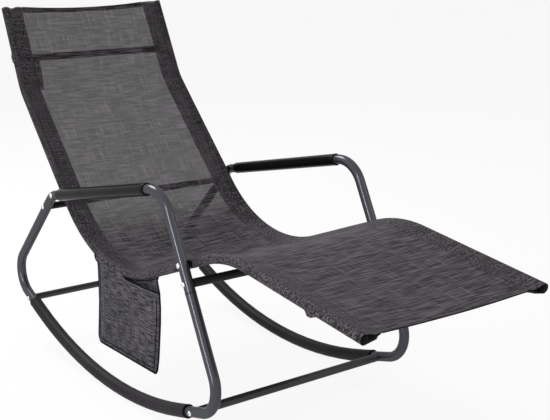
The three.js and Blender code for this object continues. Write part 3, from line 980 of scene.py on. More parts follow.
def rounded(profile: Sequence[Pair], radius: float, steps: int = 4, room: float = 2.2) -> list[Pair]:
    """Rounds every corner of a closed profile.

    Args:
        profile: Radius and height pairs.
        radius: Corner radius, less where a side is short.
        steps: Points in each corner after the first.
        room: How many times a corner's reach a side has to hold.

    Returns:
        The rounded profile.
    """
    found: list[Pair] = []
    points = [np.array(point) for point in profile]
    for index, corner in enumerate(points):
        before, after = points[index - 1] - corner, points[(index + 1) % len(points)] - corner
        reach = min(radius, np.linalg.norm(before) / room, np.linalg.norm(after) / room)
        start, end = corner + unit(before) * reach, corner + unit(after) * reach
        for share in np.linspace(0.0, 1.0, steps + 1):
            point = start * (1 - share) ** 2 + corner * 2 * share * (1 - share) + end * share**2
            found.append((float(point[0]), float(point[1])))
    return found


def cloth(name: str, rows: np.ndarray, uv: np.ndarray, thickness: float) -> bpy.types.Object:
    """Makes a cloth from a grid of points and gives it its thickness.

    Args:
        name: The piece's name.
        rows: Points as an array of rows, columns and coordinates.
        uv: The map, as an array of rows, columns and two values.
        thickness: The cloth's thickness.

    Returns:
        The object.
    """
    index = np.arange(rows.size // 3).reshape(rows.shape[:2])
    corners = (index[:-1, :-1], index[:-1, 1:], index[1:, 1:], index[1:, :-1])
    faces = np.stack(corners, axis=-1).reshape(-1, 4)
    mesh = mesh_of(name, rows.reshape(-1, 3), (), faces.tolist())
    layer = mesh.uv_layers.new(name="cut")
    layer.data.foreach_set("uv", uv.reshape(-1, 2)[faces.ravel()].astype(np.float32).ravel())
    piece = link(name, mesh)
    solid = piece.modifiers.new("thickness", "SOLIDIFY")
    solid.thickness = thickness
    solid.offset = 0.0
    shade(make_plain(piece).data, crease=50.0)
    return piece


def along(name: str, lines: Sequence[Sequence[Point]]) -> bpy.types.Mesh:
    """A mesh of edges along lines of points.

    Args:
        name: The mesh's name.
        lines: Points of each line.

    Returns:
        The mesh.
    """
    points, edges = [], []
    for line in lines:
        edges += [(len(points) + step, len(points) + step + 1) for step in range(len(line) - 1)]
        points += line
    return mesh_of(name, points, edges)


class NodeTree(NodeGraph):
    """A Geometry Nodes tree with named inputs, of which the last is its finish."""

    def __init__(self, name: str, sizes: dict[str, tuple[str, float | None]]) -> None:
        """Makes the tree from the socket type and default value of each named input.

        Args:
            name: The tree's name.
            sizes: Socket type and default value by the input's name.
        """
        super().__init__(bpy.data.node_groups.new(name, "GeometryNodeTree"))
        self.tree.is_modifier = True
        face = self.tree.interface
        sockets = {"Geometry": ("Geometry", None), **sizes, "Finish": ("Material", None)}
        for key, (kind, value) in sockets.items():
            socket = face.new_socket(key, in_out="INPUT", socket_type=f"NodeSocket{kind}")
            if value is not None:
                socket.default_value = value
        face.new_socket("Geometry", in_out="OUTPUT", socket_type="NodeSocketGeometry")
        self.given = self.node("NodeGroupInput").outputs
        self.output = self.node("NodeGroupOutput")

    def end(self, geometry: bpy.types.Node) -> None:
        """Realizes the geometry, sets its material and sends it out.

        Args:
            geometry: The node that makes it.
        """
        real = self.node("GeometryNodeRealizeInstances", None, {"Geometry": geometry})
        dress = {"Geometry": real, "Material": self.given["Finish"]}
        dressed = self.node("GeometryNodeSetMaterial", None, dress)
        self.tree.links.new(dressed.outputs[0], self.output.inputs[0])

    def run(self, source: bpy.types.Mesh, finish: Finish, **values: object) -> bpy.types.Object:
        """Runs the tree on a mesh and keeps the plain result.

        Args:
            source: The mesh that the tree reads, under the piece's name.
            finish: The finish.
            values: A value for each of the other named inputs that isn't left at its default.

        Returns:
            The object.
        """
        piece = link(source.name, source)
        modifier = piece.modifiers.new("tree", "NODES")
        modifier.node_group = self.tree
        values["Finish"] = finish.made
        for item in self.tree.interface.items_tree:
            if item.in_out == "INPUT" and item.name in values:
                modifier[item.identifier] = values[item.name]
        return make_plain(piece)


class TubeTree(NodeTree):
    """Sweeps a round tube along a line."""

    def __init__(self) -> None:
        """Builds the tree, with smooth walls and flat ends."""
        super().__init__("tube along a line", {"Radius": ("Float", 0.01), "Sides": ("Int", 40)})
        curve = self.node("GeometryNodeMeshToCurve", None, {"Mesh": self.given["Geometry"]})
        sizes = {"Resolution": self.given["Sides"], "Radius": self.given["Radius"]}
        ring = self.node("GeometryNodeCurvePrimitiveCircle", {"mode": "RADIUS"}, sizes)
        parts = {"Curve": curve, "Profile Curve": ring, "Fill Caps": True}
        tube = self.node("GeometryNodeCurveToMesh", None, parts)
        per_face = {"domain": "FACE"}
        flat = self.node("GeometryNodeSetShadeSmooth", per_face, {0: tube, "Shade Smooth": False})
        corners = self.node("GeometryNodeInputMeshFaceNeighbors").outputs["Vertex Count"]
        # Sockets 2 and 3 compare whole numbers, and only a wall's faces have four corners.
        equal = {"data_type": "INT", "operation": "EQUAL"}
        wall = self.node("FunctionNodeCompare", equal, {2: corners, 3: 4})
        shading = {0: flat, "Selection": wall, "Shade Smooth": True}
        self.end(self.node("GeometryNodeSetShadeSmooth", per_face, shading))


class StitchTree(NodeTree):
    """Lays stitches along lines."""

    def __init__(self) -> None:
        """Builds the tree."""
        sizes = {"Pitch": ("Float", 0.004), "Length": ("Float", 0.0028), "Thread": ("Float", 0.0004)}
        super().__init__("stitches along a line", sizes)
        curve = self.node("GeometryNodeMeshToCurve", None, {"Mesh": self.given["Geometry"]})
        spacing = {"Curve": curve, "Length": self.given["Pitch"]}
        spaced = self.node("GeometryNodeCurveToPoints", {"mode": "LENGTH"}, spacing).outputs
        bead = self.node("GeometryNodeMeshUVSphere", None, {"Segments": 6, "Rings": 4, "Radius": 1.0})
        smooth = self.node("GeometryNodeSetShadeSmooth", None, {0: bead, "Shade Smooth": True})
        half = self.node("ShaderNodeMath", {"operation": "MULTIPLY"}, {0: self.given["Length"], 1: 0.5})
        thread = self.given["Thread"]
        size = self.node("ShaderNodeCombineXYZ", None, {"X": thread, "Y": thread, "Z": half})
        laid = {"Points": spaced["Points"], "Instance": smooth, "Rotation": spaced["Rotation"], "Scale": size}
        self.end(self.node("GeometryNodeInstanceOnPoints", None, laid))


class FastenerTree(NodeTree):
    """Sets a copy of one fastener at each point, pointing outwards."""

    def __init__(self) -> None:
        """Builds the tree."""
        super().__init__("fasteners at points", {"Fastener": ("Object", None)})
        model = self.node("GeometryNodeObjectInfo", None, {"Object": self.given["Fastener"]})
        vector = {"data_type": "FLOAT_VECTOR"}
        out = self.node("GeometryNodeInputNamedAttribute", vector, {"Name": "outward"})
        turn = self.node("FunctionNodeAlignRotationToVector", {"axis": "Z"}, {"Vector": out})
        placed = {"Points": self.given["Geometry"], "Instance": model.outputs["Geometry"], "Rotation": turn}
        self.end(self.node("GeometryNodeInstanceOnPoints", None, placed))


@dataclass(frozen=True)
class Workshop:
    """The trees that make what repeats or follows a line."""

    tubes: TubeTree
    stitches: StitchTree
    fasteners: FastenerTree


# Sub-assemblies


@dataclass
class Assembly:
    """A sub-assembly of the lounge."""

    layout: Layout
    shop: Workshop

    @staticmethod
    def keep(piece: bpy.types.Object, finish: Finish, slot: Slot, *replaces: str) -> bpy.types.Object:
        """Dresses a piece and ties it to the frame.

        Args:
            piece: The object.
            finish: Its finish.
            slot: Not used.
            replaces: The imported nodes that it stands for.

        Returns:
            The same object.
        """
        if not piece.data.materials:
            piece.data.materials.append(finish.made)
        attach(piece, BODY)
        if replaces:
            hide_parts(*replaces)
        LOG.info("%s: %d faces", piece.name, len(piece.data.polygons))
        return piece

    def tube(self, name: str, line: Sequence[Point], radius: float, finish: Finish) -> bpy.types.Object:
        """Makes a tube along a line."""
        return self.shop.tubes.run(along(name, [line]), finish, Radius=radius)

    def stitched(self, name: str, lines: Sequence[Sequence[Point]], slot: Slot) -> bpy.types.Object:
        """Sews along lines and joins the stitches in one piece."""
        return self.keep(self.shop.stitches.run(along(name, lines), THREAD), THREAD, slot)

    def bolted(
        self, name: str, places: Sequence[tuple[Vector, Vector]], bolt: Bolt, length: float,
        nodes: Sequence[str],
    ) -> None:
        """Sets a bolt at each place.

        Args:
            name: The piece's name.
            places: Where each head bears, and its outward direction.
            bolt: The kind of bolt.
            length: Length under the head.
            nodes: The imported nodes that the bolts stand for.
        """
        mesh = mesh_of(name, [place for place, _ in places])
        layer = mesh.attributes.new("outward", "FLOAT_VECTOR", "POINT")
        layer.data.foreach_set("vector", [part for _, way in places for part in way])
        model = bolt.model(length)
        piece = self.shop.fasteners.run(mesh, ZINC, Fastener=model)
        bpy.data.objects.remove(model)
        self.keep(piece, ZINC, Slot.ZINC, *nodes)


@dataclass(frozen=True)
class Bolt:
    """A pan-head bolt with a round socket."""

    head_radius: float = 0.0060
    head_height: float = 0.0040
    shank_radius: float = 0.003
    socket_radius: float = 0.0024
    tip: float = 0.0008
    tip_share: float = 0.8
    rim: Pair = (0.0004, 0.0009)
    rim_share: float = 0.97
    socket_edge: float = 0.0003
    socket_depth: Pair = (0.0022, 0.0026)
    socket_shares: Pair = (0.95, 0.9)

    def model(self, length: float) -> bpy.types.Object:
        """One bolt of that length along +Z, its head bearing at zero.

        Args:
            length: Length under the head.

        Returns:
            The object, which is removed after use.
        """
        head, high, shank, socket = self.head_radius, self.head_height, self.shank_radius, self.socket_radius
        edge, crown = self.rim
        profile = [(0.0, -length), (shank * self.tip_share, -length), (shank, self.tip - length)]
        profile += [(shank, 0.0), (head * self.rim_share, 0.0), (head, edge), (head, crown)]
        for angle in QUARTER[1:]:
            across = socket + (head - socket) * math.cos(angle)
            profile.append((across, crown + (high - crown) * math.sin(angle)))
        (wall, floor), (upper, lower) = self.socket_depth, self.socket_shares
        profile += [(socket * upper, high - self.socket_edge), (socket * lower, high - wall)]
        profile.append((0.0, high - floor))
        return turned("bolt_model", profile, Vector(), Vector((0, 0, 1)), segments=28)


@dataclass
class SideFrame(Assembly):
    """One side frame: hoop, lower leg, rocker rail, bushes and grip."""

    side: Side
    play: float = 0.0001
    bush_flanges: Pair = (0.0161, 0.0165)
    bush_sleeve: float = 0.0140
    bush_depth: float = 0.020
    bush_rim: float = 0.0006
    bush_slope: float = 4.0
    bush_lip: float = 0.0016
    bush_edge: float = 0.0010
    grip_radius: float = 0.0155
    grip_length: float = 0.445
    grip_setback: float = 0.047
    grip_roll: float = 0.0042
    grip_hollow: float = 0.4
    grip_skin: float = 0.0003
    grip_swell: float = 0.0002
    grip_noise: Pair = (7.0, 22.0)
    grip_end: float = 0.012
    ring_depth: float = 0.0022
    ring_lip: float = 0.0016
    ring_proud: float = 0.0002
    ring_inset: float = 0.0012
    ring_edge: float = 0.0006
    seam_depth: float = 0.0006
    seam_gap: tuple[float, float, float] = (-0.0006, 0.0012, 0.0003)
    seam_lip: tuple[float, float, float] = (0.0012, 0.0036, 0.0005)
    seam_edge: float = 0.0005

    @property
    def y(self) -> float:
        """The frame's sideways place."""
        return self.side.value * self.layout.frame_y

    def build_tubes(self) -> None:
        """Makes the three bent tubes."""
        plan = self.layout
        for name, path, radius, finish, slot in (
            ("frame_hoop", plan.hoop, plan.hoop_radius, SLATE, Slot.SLATE),
            ("lower_leg", plan.leg, plan.hoop_radius, SLATE, Slot.SLATE),
            ("rocker_rail", plan.rocker, plan.rail_radius, CHARCOAL, Slot.CHARCOAL),
        ):
            node = self.side.node(name)
            line = [at_y(path.at(mark).point, self.y) for mark in path.marks(arc_step=2.5)]
            self.keep(self.tube(f"{node}_tube", line, radius, finish), finish, slot, node)

    def build_bushes(self) -> None:
        """Makes the bushes that close the rail's ends."""
        bore, sleeve = self.layout.hoop_radius + self.play, self.bush_sleeve
        ends = {"rear_bush": self.layout.rail_rear, "front_bush": self.layout.rail_front}
        for (name, end), flange in zip(ends.items(), self.bush_flanges):
            rim = (flange - self.layout.rail_radius) * self.bush_slope + self.bush_rim
            profile = [(bore, -self.bush_depth), (sleeve, -self.bush_depth), (sleeve, self.play)]
            profile += [(flange, self.play), (flange, rim), (bore, rim + self.bush_lip)]
            node = self.side.node(name)
            ring = rounded(profile, self.bush_edge)
            piece = turned(f"{node}_ring", ring, at_y(end.point, self.y), at_y(end.way))
            self.keep(piece, PLASTIC, Slot.PLASTIC, node)

    def build_grip(self) -> None:
        """Makes the foam grip with its rolled ends, and a black ring at each as painted shade of its recessed
        end.
        """
        bore, body, roll, length = (
            self.layout.hoop_radius + self.play, self.grip_radius, self.grip_roll, self.grip_length
        )
        low = body - roll - self.grip_skin
        rear = [(low + roll * math.sin(angle), roll - roll * math.cos(angle)) for angle in QUARTER]
        rear.insert(0, (bore, roll * self.grip_hollow))
        front = [(radius, length - height) for radius, height in reversed(rear)]
        middle = []
        for height in np.linspace(self.grip_end, length - self.grip_end, 40):
            spot = Vector((0.0, self.y * self.grip_noise[0], height * self.grip_noise[1]))
            swell = self.grip_swell * noise.noise(spot)
            middle.append((body + swell, height))
        way = self.layout.arm_way
        start = self.layout.rear_top + way * self.grip_setback
        node = self.side.node("arm_grip")
        skin = [*rear, *middle, *front]
        foam = turned(f"{node}_foam", skin, at_y(start, self.y), at_y(way), segments=56)
        self.keep(foam, FOAM, Slot.FOAM, node)
        # The black rings over the foam's ends are painted shade of the recessed end faces.
        depth, lip = self.ring_depth, self.ring_lip
        proud, inner = body + self.ring_proud, body - self.ring_inset
        profile = [(bore, -depth), (body - self.grip_skin, -depth), (proud, 0.0), (inner, lip), (bore, lip)]
        ring = rounded(profile, self.ring_edge)
        for name, height, sign in (("rear", 0.0, -1.0), ("front", length, 1.0)):
            origin = at_y(start + way * height, self.y)
            piece = turned(f"{node}_{name}_ring", ring, origin, at_y(way) * sign, segments=56)
            self.keep(piece, PLASTIC, Slot.FOAM)

    def build_seam(self) -> None:
        """Makes the rolled edge where the lower leg enters the hoop, with a black ring there as painted
        shade.
        """
        inner = self.layout.hoop_radius - self.seam_depth
        # The black ring between hoop and lower leg is painted shade of the recess there.
        for name, (start, end, proud), finish, slot in (
            ("gap", self.seam_gap, PLASTIC, Slot.PLASTIC),
            ("lip", self.seam_lip, SLATE, Slot.SLATE),
        ):
            outer = self.layout.hoop_radius + proud
            lip = rounded([(inner, start), (outer, start), (outer, end), (inner, end)], self.seam_edge)
            seam, down = at_y(self.layout.seam, self.y), at_y(self.layout.leg_way)
            self.keep(turned(self.side.node(f"leg_seam_{name}"), lip, seam, down), finish, slot)

    def build(self) -> None:
        """Makes the whole frame."""
        self.build_tubes()
        self.build_bushes()
        self.build_grip()
        self.build_seam()


@dataclass
class CrossTubes(Assembly):
    """The four tubes between the side frames."""

    shaded_copy_tubes: Sequence[str] = ("middle_cross_tube", "back_cross_tube")
    cope: float = 0.0006

    def build(self) -> None:
        """Makes each tube, running a little into the hoops as a coped end does."""
        reach = self.layout.frame_y - self.layout.hoop_radius + self.cope
        for name, (place, radius) in self.layout.cross_tubes.items():
            line = [at_y(place, y) for y in np.linspace(-reach, reach, 24)]
            # The four cross tubes share one paint: the two in shade take the darker charcoal and the other
            # two a lighter copy, as painted shade and painted light.
            finish = CHARCOAL if name in self.shaded_copy_tubes else LIT_CROSS_TUBE_COAT
            self.keep(self.tube(f"{name}_round", line, radius, finish), finish, Slot.CHARCOAL, name)


@dataclass
class Fasteners(Assembly):
    """Pan-head bolts through the side frames, with the spacers at the seat."""

    bolt: Bolt = Bolt()
    sink: float = 0.0002
    cross_length: float = 0.040
    seat_length: float = 0.045
    spacer_y: float = 0.2612
    spacer_radii: Pair = (0.0034, 0.009)
    spacer_edge: float = 0.0008

    def build(self) -> None:
        """Sets every bolt and seat spacer."""
        plan = self.layout
        face = plan.frame_y + plan.hoop_radius - self.sink
        cross = {f"{name}_bolt": place for name, (place, _) in plan.cross_tubes.items()}
        seat = {f"seat_{name}_bolt": place for name, place in plan.seat_bolts.items()}
        for side in Side:
            for name, place in plan.seat_bolts.items():
                self._spacer(side, side.node(f"seat_{name}_spacer"), place)
        for name, spots, length in (
            ("cross_tube_bolts", cross, self.cross_length), ("seat_bolts", seat, self.seat_length),
        ):
            places = [(at_y(place, side.value * face), side.out) for side in Side for place in spots.values()]
            nodes = [side.node(spot) for side in Side for spot in spots]
            self.bolted(name, places, self.bolt, length, nodes)

    def _spacer(self, side: Side, node: str, place: np.ndarray) -> None:
        """Makes the spacer between side frame and seat rail.

        Args:
            side: Its side.
            node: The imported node.
            place: The seat bolt's place in the side plane.
        """
        (bore, outer), inner = self.spacer_radii, self.spacer_y
        length = self.layout.frame_y - self.layout.hoop_radius + self.sink - inner
        ring = rounded([(bore, 0.0), (outer, 0.0), (outer, length), (bore, length)], self.spacer_edge)
        piece = turned(f"{node}_ring", ring, at_y(place, side.value * inner), side.out, segments=36)
        self.keep(piece, PLASTIC, Slot.PLASTIC, node)


@dataclass
class SeatFrame(Assembly):
    """The two S-shaped seat rails with their caps, and the two spreader bars."""

    cap_dome: float = 0.004
    cap_depth: float = 0.008
    cap_collar: float = 0.001
    cap_proud: float = 0.0001
    cap_plug: float = 0.8
    head_bar_inset: float = 0.138
    foot_bar_inset: float = 0.150
    head_bar_radius: float = 0.0095
    foot_bar_radius: float = 0.010
    nesting: float = 0.004
    overhang: float = 0.004
    flat_length: float = 0.036
    flat_blend: float = 0.020
    flat_share: float = 0.5
    flat_spread: float = 0.12
    screw: Bolt = Bolt(
        head_radius=0.0050, head_height=0.0022, shank_radius=0.0025, socket_radius=0.00125
    )

    @property
    def bars(self) -> dict[str, Pair]:
        """Each bar's place along the rail and its radius."""
        foot = self.layout.seat.length - self.foot_bar_inset
        return {
            "head_spreader_bar": (self.head_bar_inset, self.head_bar_radius),
            "foot_spreader_bar": (foot, self.foot_bar_radius),
        }

    def flat_depth(self, radius: float) -> float:
        """Distance from a rail's axis to the under side of a bar's flattened end."""
        return self.layout.seat_rail_radius - self.nesting + 2 * radius * self.flat_share

    def _on_rail(self, point: np.ndarray, side: Side) -> Vector:
        """A point of the seat path, on one of the two rails."""
        return at_y(point, self.layout.drawn_in(point, side.value * self.layout.seat_y))

    def build(self) -> None:
        """Makes rails, caps and bars with their screws."""
        path, rail = self.layout.seat, self.layout.seat_rail_radius
        for side in Side:
            line = [self._on_rail(path.at(mark).point, side) for mark in path.marks(arc_step=2.0)]
            node = side.node("seat_rail")
            self.keep(self.tube(f"{node}_tube", line, rail, CHARCOAL), CHARCOAL, Slot.CHARCOAL, node)
            for name, end, before in (("head_cap", line[0], line[1]), ("foot_cap", line[-1], line[-2])):
                self._cap(side.node(name), end, end - before)
        for name, (place, radius) in self.bars.items():
            station = path.at(place)
            centre = station.point - station.up * (rail + radius - self.nesting)
            half = self.layout.drawn_in(station.point, self.layout.seat_y + self.overhang)
            line = [at_y(centre, y) for y in np.linspace(-half, half, 80)]
            bar = self.tube(f"{name}_round", line, radius, CHARCOAL)
            self._flatten(bar.data, centre, station, radius, half)
            self.keep(bar, CHARCOAL, Slot.CHARCOAL, name)
            self._screws(name, station, self.flat_depth(radius))

    def _screws(self, name: str, station: Station, depth: float) -> None:
        """Sets the two screws of a bar under its flattened ends.

        Args:
            name: The bar's name.
            station: Where it crosses the seat path.
            depth: Distance from the rail's axis to its under side.
        """
        down = at_y(-station.up)
        places = [(self._on_rail(station.point, side) + down * depth, down) for side in Side]
        length = depth - self.layout.seat_rail_radius + self.nesting
        nodes = [side.node(f"{name}_screw") for side in Side]
        self.bolted(f"{name}_screws", places, self.screw, length, nodes)

    def _flatten(
        self, mesh: bpy.types.Mesh, centre: np.ndarray, station: Station, radius: float, half: float
    ) -> None:
        """Squashes a bar's ends against the rails, as they are screwed there.

        Args:
            mesh: The bar's mesh.
            centre: Its axis in the side plane.
            station: Where it crosses the seat path.
            radius: Its radius.
            half: Half its length.
        """
        places = np.empty(len(mesh.vertices) * 3)
        mesh.vertices.foreach_get("co", places)
        places = places.reshape(-1, 3)
        flat = places[:, [0, 2]] - centre
        start = half - self.flat_length
        share = eased(np.abs(places[:, 1]), start, start + self.flat_blend)
        rise = radius - (radius - flat @ station.up) * (1 - (1 - self.flat_share) * share)
        run = flat @ station.way * (1 + self.flat_spread * share)
        places[:, [0, 2]] = centre + rise[:, None] * station.up + run[:, None] * station.way
        mesh.vertices.foreach_set("co", places.ravel())
        mesh.update()

    def _cap(self, node: str, origin: Vector, way: Vector) -> None:
        """Makes a domed plug in a rail's end.

        Args:
            node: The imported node.
            origin: The rail's end.
            way: The way out of the rail.
        """
        radius, depth = self.layout.seat_rail_radius, self.cap_depth
        plug = radius * self.cap_plug
        profile = [(0.0, -depth), (plug, -depth), (plug, 0.0), (radius + self.cap_proud, 0.0)]
        for angle in QUARTER[1:-1]:
            profile.append((radius * math.cos(angle), self.cap_collar + self.cap_dome * math.sin(angle)))
        profile.append((0.0, self.cap_collar + self.cap_dome))
        dome = turned(f"{node}_dome", profile, origin, way, segments=36)
        self.keep(dome, PLASTIC, Slot.PLASTIC, node)


@dataclass
class Sling(Assembly):
    """The mesh cloth with its sleeves, hems and seams."""

    seat_frame: SeatFrame
    sleeve_radius: float = 0.0111
    seam_reach: float = 0.048
    tuck: Pair = (0.0005, 0.0017)
    thickness: float = 0.0010
    sag: float = 0.0045
    head_overrun: float = 0.0045
    foot_setback: float = 0.004
    end_fade: float = 0.05
    head_dip: float = 0.0070
    head_notch: float = 0.0050
    far_notch: float = 0.35
    notch_from: float = -0.004
    notch_dip: Pair = (0.0355, 0.010)
    notch_peak: Pair = (0.0135, 0.006)
    notch_peak_share: float = 0.35
    sleeve_extra: float = 0.0075
    extra_from: Pair = (0.0075, 0.0175)
    bulge_reach: float = 0.014
    bulge_cover: float = 0.0008
    bulge_flat: float = 0.7
    bulge_power: float = 0.6
    bulge_inner: Pair = (0.222, 0.234)
    bulge_outer: Pair = (0.2612, 0.2562)
    pucker: float = 0.0009
    pucker_reach: float = 0.016
    pucker_noise: Point = (34.0, 3.7, 8.0)
    swell: float = 0.0011
    swell_noise: Point = (5.5, 4.2, 1.3)
    sleeve_swell: float = 0.2
    hem_width: float = 0.0145
    hem_thickness: float = 0.0007
    hem_drop: float = 0.0013
    hem_roll: Sequence[Pair] = ((0.0012, 0.0010), (0.0, 0.0011), (-0.0010, 0.0004), (-0.0010, -0.0006))
    hem_inset: float = 0.002
    hem_stitch: float = 0.0015
    sleeve_stitches: Pair = (0.0012, 0.0062)
    stitch_lift: float = 0.0001
    flap_start: float = 0.008
    flap_length: float = 0.090
    flap_widths: Pair = (0.0195, 0.012)
    flap_tuck: float = 0.006
    flap_drop: float = 0.0022
    flap_curl: float = 0.0012
    flap_waves: float = 9.0
    flap_weave: tuple[Pair, Pair] = ((0.06, 0.10), (0.08, 0.13))
    flap_thickness: float = 0.0008
    flap_grid: tuple[int, int] = (14, 8)
    panel_points: int = 22
    arc_points: int = 20
    flap_points: int = 5
    spacing: float = 0.008

    @property
    def seam(self) -> float:
        """How far the seams beside the sleeves lie from the middle."""
        return self.layout.seat_y - self.seam_reach

    @cached_property
    def mesh(self) -> MeshCloth:
        """The cloth's finish, which lets more background through at the backrest."""
        dark, light = linear(24, 22, 24), linear(99, 93, 99)
        return MeshCloth(
            "sling mesh", self.cut, dark, light,
            see_through=(0.30, 0.05), fade=(0.62, 0.82), single=self.seam,
        )

    @cached_property
    def _half(self) -> list[Pair]:
        """Half of the section, from the sewn flap round the rail to the seam, as y and height."""
        seam, radius, middle, count = self.seam, self.sleeve_radius, self.layout.seat_y, self.flap_points
        tangent = math.pi / 2 + math.asin(radius / self.seam_reach)
        low_y, low = middle + radius * math.cos(tangent), -radius * math.sin(tangent)
        aside, down = self.tuck
        found = []
        for share in (step / count for step in range(count)):
            found.append((seam + aside + (low_y - seam) * share, -down + (low + down) * share))
        for angle in np.linspace(-tangent, tangent, self.arc_points + 1):
            found.append((middle + radius * math.cos(angle), radius * math.sin(angle)))
        for share in (step / count for step in range(1, count + 1)):
            found.append((low_y + (seam - low_y) * share, -low * (1 - share)))
        return found

    @cached_property
    def section(self) -> np.ndarray:
        """The whole section: y and height of each point across the cloth."""
        count = self.panel_points
        inner = [(self.seam * (1 - 2 * step / count), 0.0) for step in range(1, count)]
        mirrored = [(-y, height) for y, height in reversed(self._half)]
        return np.array([*self._half, *inner, *mirrored])

    @cached_property
    def across(self) -> np.ndarray:
        """Distance of each section point across the flat cut."""
        steps = np.linalg.norm(np.diff(self.section, axis=0), axis=1)
        return np.concatenate([[0.0], np.cumsum(steps)])

    @property
    def end(self) -> float:
        """Where along the seat path the cloth ends. It starts as far before the path as it overruns."""
        return self.layout.seat.length - self.foot_setback

    @property
    def cut(self) -> Pair:
        """Flat width and length of the cloth."""
        return float(self.across[-1]), self.layout.seat.length + self.head_overrun - self.foot_setback

    @cached_property
    def marks(self) -> np.ndarray:
        """Places of the rows along the cloth."""
        count = round((self.layout.seat.length + self.head_overrun) / self.spacing)
        return np.linspace(-self.head_overrun, self.end, count + 1)

    def _bulge(self, distance: float, y: float, height: float) -> float:
        """Height of the sleeve's under side where it covers the end of a spreader bar.

        Args:
            distance: Distance along the seat path.
            y: Sideways place.
            height: Height away from the bars.

        Returns:
            The height.
        """
        if height > 0:
            return height
        frame, reach = self.seat_frame, self.bulge_reach
        for place, radius in frame.bars.values():
            off = abs(distance - place)
            if off < reach:
                depth = frame.flat_depth(radius) + frame.screw.head_height + self.bulge_cover
                run = 0.5 + 0.5 * math.cos(math.pi * between(off, radius * self.bulge_flat, reach))
                covered = between(abs(y), *self.bulge_inner) * between(abs(y), *self.bulge_outer)
                share = run * covered**self.bulge_power
                height = min(height, height * (1 - share) - depth * share)
        return height

    def _end_shift(self, distance: float, y: float) -> float:
        """How far the cloth's ends stray along the path, from its waved head and its long sleeves.

        Args:
            distance: Distance along the seat path.
            y: Sideways place.

        Returns:
            The shift, towards the foot end where above zero.
        """
        into = abs(y) - self.seam
        head = -self.head_dip * max(0.0, 1 - (y / self.seam) ** 2)
        if into > self.notch_from:
            depth = self.head_notch * (1.0 if y < 0 else self.far_notch)
            peak = self.notch_peak_share * bell(into, *self.notch_peak)
            head += depth * (peak - bell(into, *self.notch_dip))
        foot = self.sleeve_extra * between(into, *self.extra_from)
        fade_head = max(0.0, 1 - (distance + self.head_overrun) / self.end_fade) ** 2
        fade_foot = max(0.0, 1 - (self.end - distance) / self.end_fade) ** 2
        return foot * fade_foot - head * fade_head

    def _ripple(self, distance: float, y: float) -> float:
        """Small puckers beside the seams and a soft unevenness in the panel.

        Args:
            distance: Distance along the seat path.
            y: Sideways place.

        Returns:
            Their height.
        """
        fine = Vector((distance, math.copysign(1.0, y), abs(y))) * Vector(self.pucker_noise)
        broad = Vector((distance, y, 1.0)) * Vector(self.swell_noise)
        pucker = self.pucker * noise.noise(fine) * bell(abs(y), self.seam, self.pucker_reach)
        return pucker + self.swell * noise.noise(broad) * (1 if abs(y) < self.seam else self.sleeve_swell)

    def point(self, distance: float, y: float, height: float) -> Point:
        """A cloth point off the seat path.

        Args:
            distance: Distance along the seat path.
            y: Sideways place.
            height: Height above the path.

        Returns:
            The point.
        """
        station = self.layout.seat.at(distance + self._end_shift(distance, y))
        place = station.point + station.up * height
        return place[0], self.layout.drawn_in(station.point, y), place[1]

    def surface(self, distance: float, y: float, lift: float = 0.0) -> Point:
        """A point on or above the panel's upper face."""
        dip = self.sag * (1 - min(1.0, (y / self.seam) ** 2))
        return self.point(distance, y, self._ripple(distance, y) - dip + lift)

    def _on_sleeve(self, distance: float, y: float, lift: float) -> Point:
        """A point on the sleeve's upper face close to the seam."""
        rise = (abs(y) - self.seam) * self.sleeve_radius / self.seam_reach
        return self.point(distance, y, rise + self._ripple(distance, y) + lift)

    def _in_cloth(self, distance: float, y: float, height: float) -> Point:
        """A point of the cloth itself, in the panel or in a sleeve.

        Args:
            distance: Distance along the seat path.
            y: Sideways place.
            height: Height of the section there.

        Returns:
            The point.
        """
        if abs(y) < self.seam:
            return self.surface(distance, y)
        return self.point(distance, y, self._bulge(distance, y, height) + self._ripple(distance, y))

    def build_cloth(self) -> bpy.types.Object:
        """Makes the cloth as one sheet wrapped round both rails."""
        rows = np.array([
            [self._in_cloth(mark, y, height) for y, height in self.section] for mark in self.marks
        ])
        width, length = self.cut
        uv = np.stack(np.meshgrid(self.across / width, (self.marks + self.head_overrun) / length), axis=-1)
        piece = cloth("sling_cloth", rows[:, ::-1], uv[:, ::-1], self.thickness)
        return self.keep(piece, self.mesh, Slot.SLING, "sling")

    def build_hem(self, name: str, edge: float, inward: float) -> bpy.types.Object:
        """Makes a folded hem across the panel.

        Args:
            name: The hem's name.
            edge: Where along the path the cloth ends.
            inward: 1 where the cloth lies after the edge, -1 where it lies before it.

        Returns:
            The hem.
        """
        profile = [*self.hem_roll, *((run, -self.hem_drop) for run in np.linspace(0.0, self.hem_width, 7))]
        reach = self.seam - self.hem_inset
        ys = np.linspace(-reach, reach, 41)
        rows = np.array([[self.surface(edge + inward * run, y, lift) for y in ys] for run, lift in profile])
        uv = np.stack(np.meshgrid(ys, [run / self.hem_width for run, _ in profile]), axis=-1)
        return self.keep(cloth(name, rows, uv, self.hem_thickness), HEM, Slot.SLING)

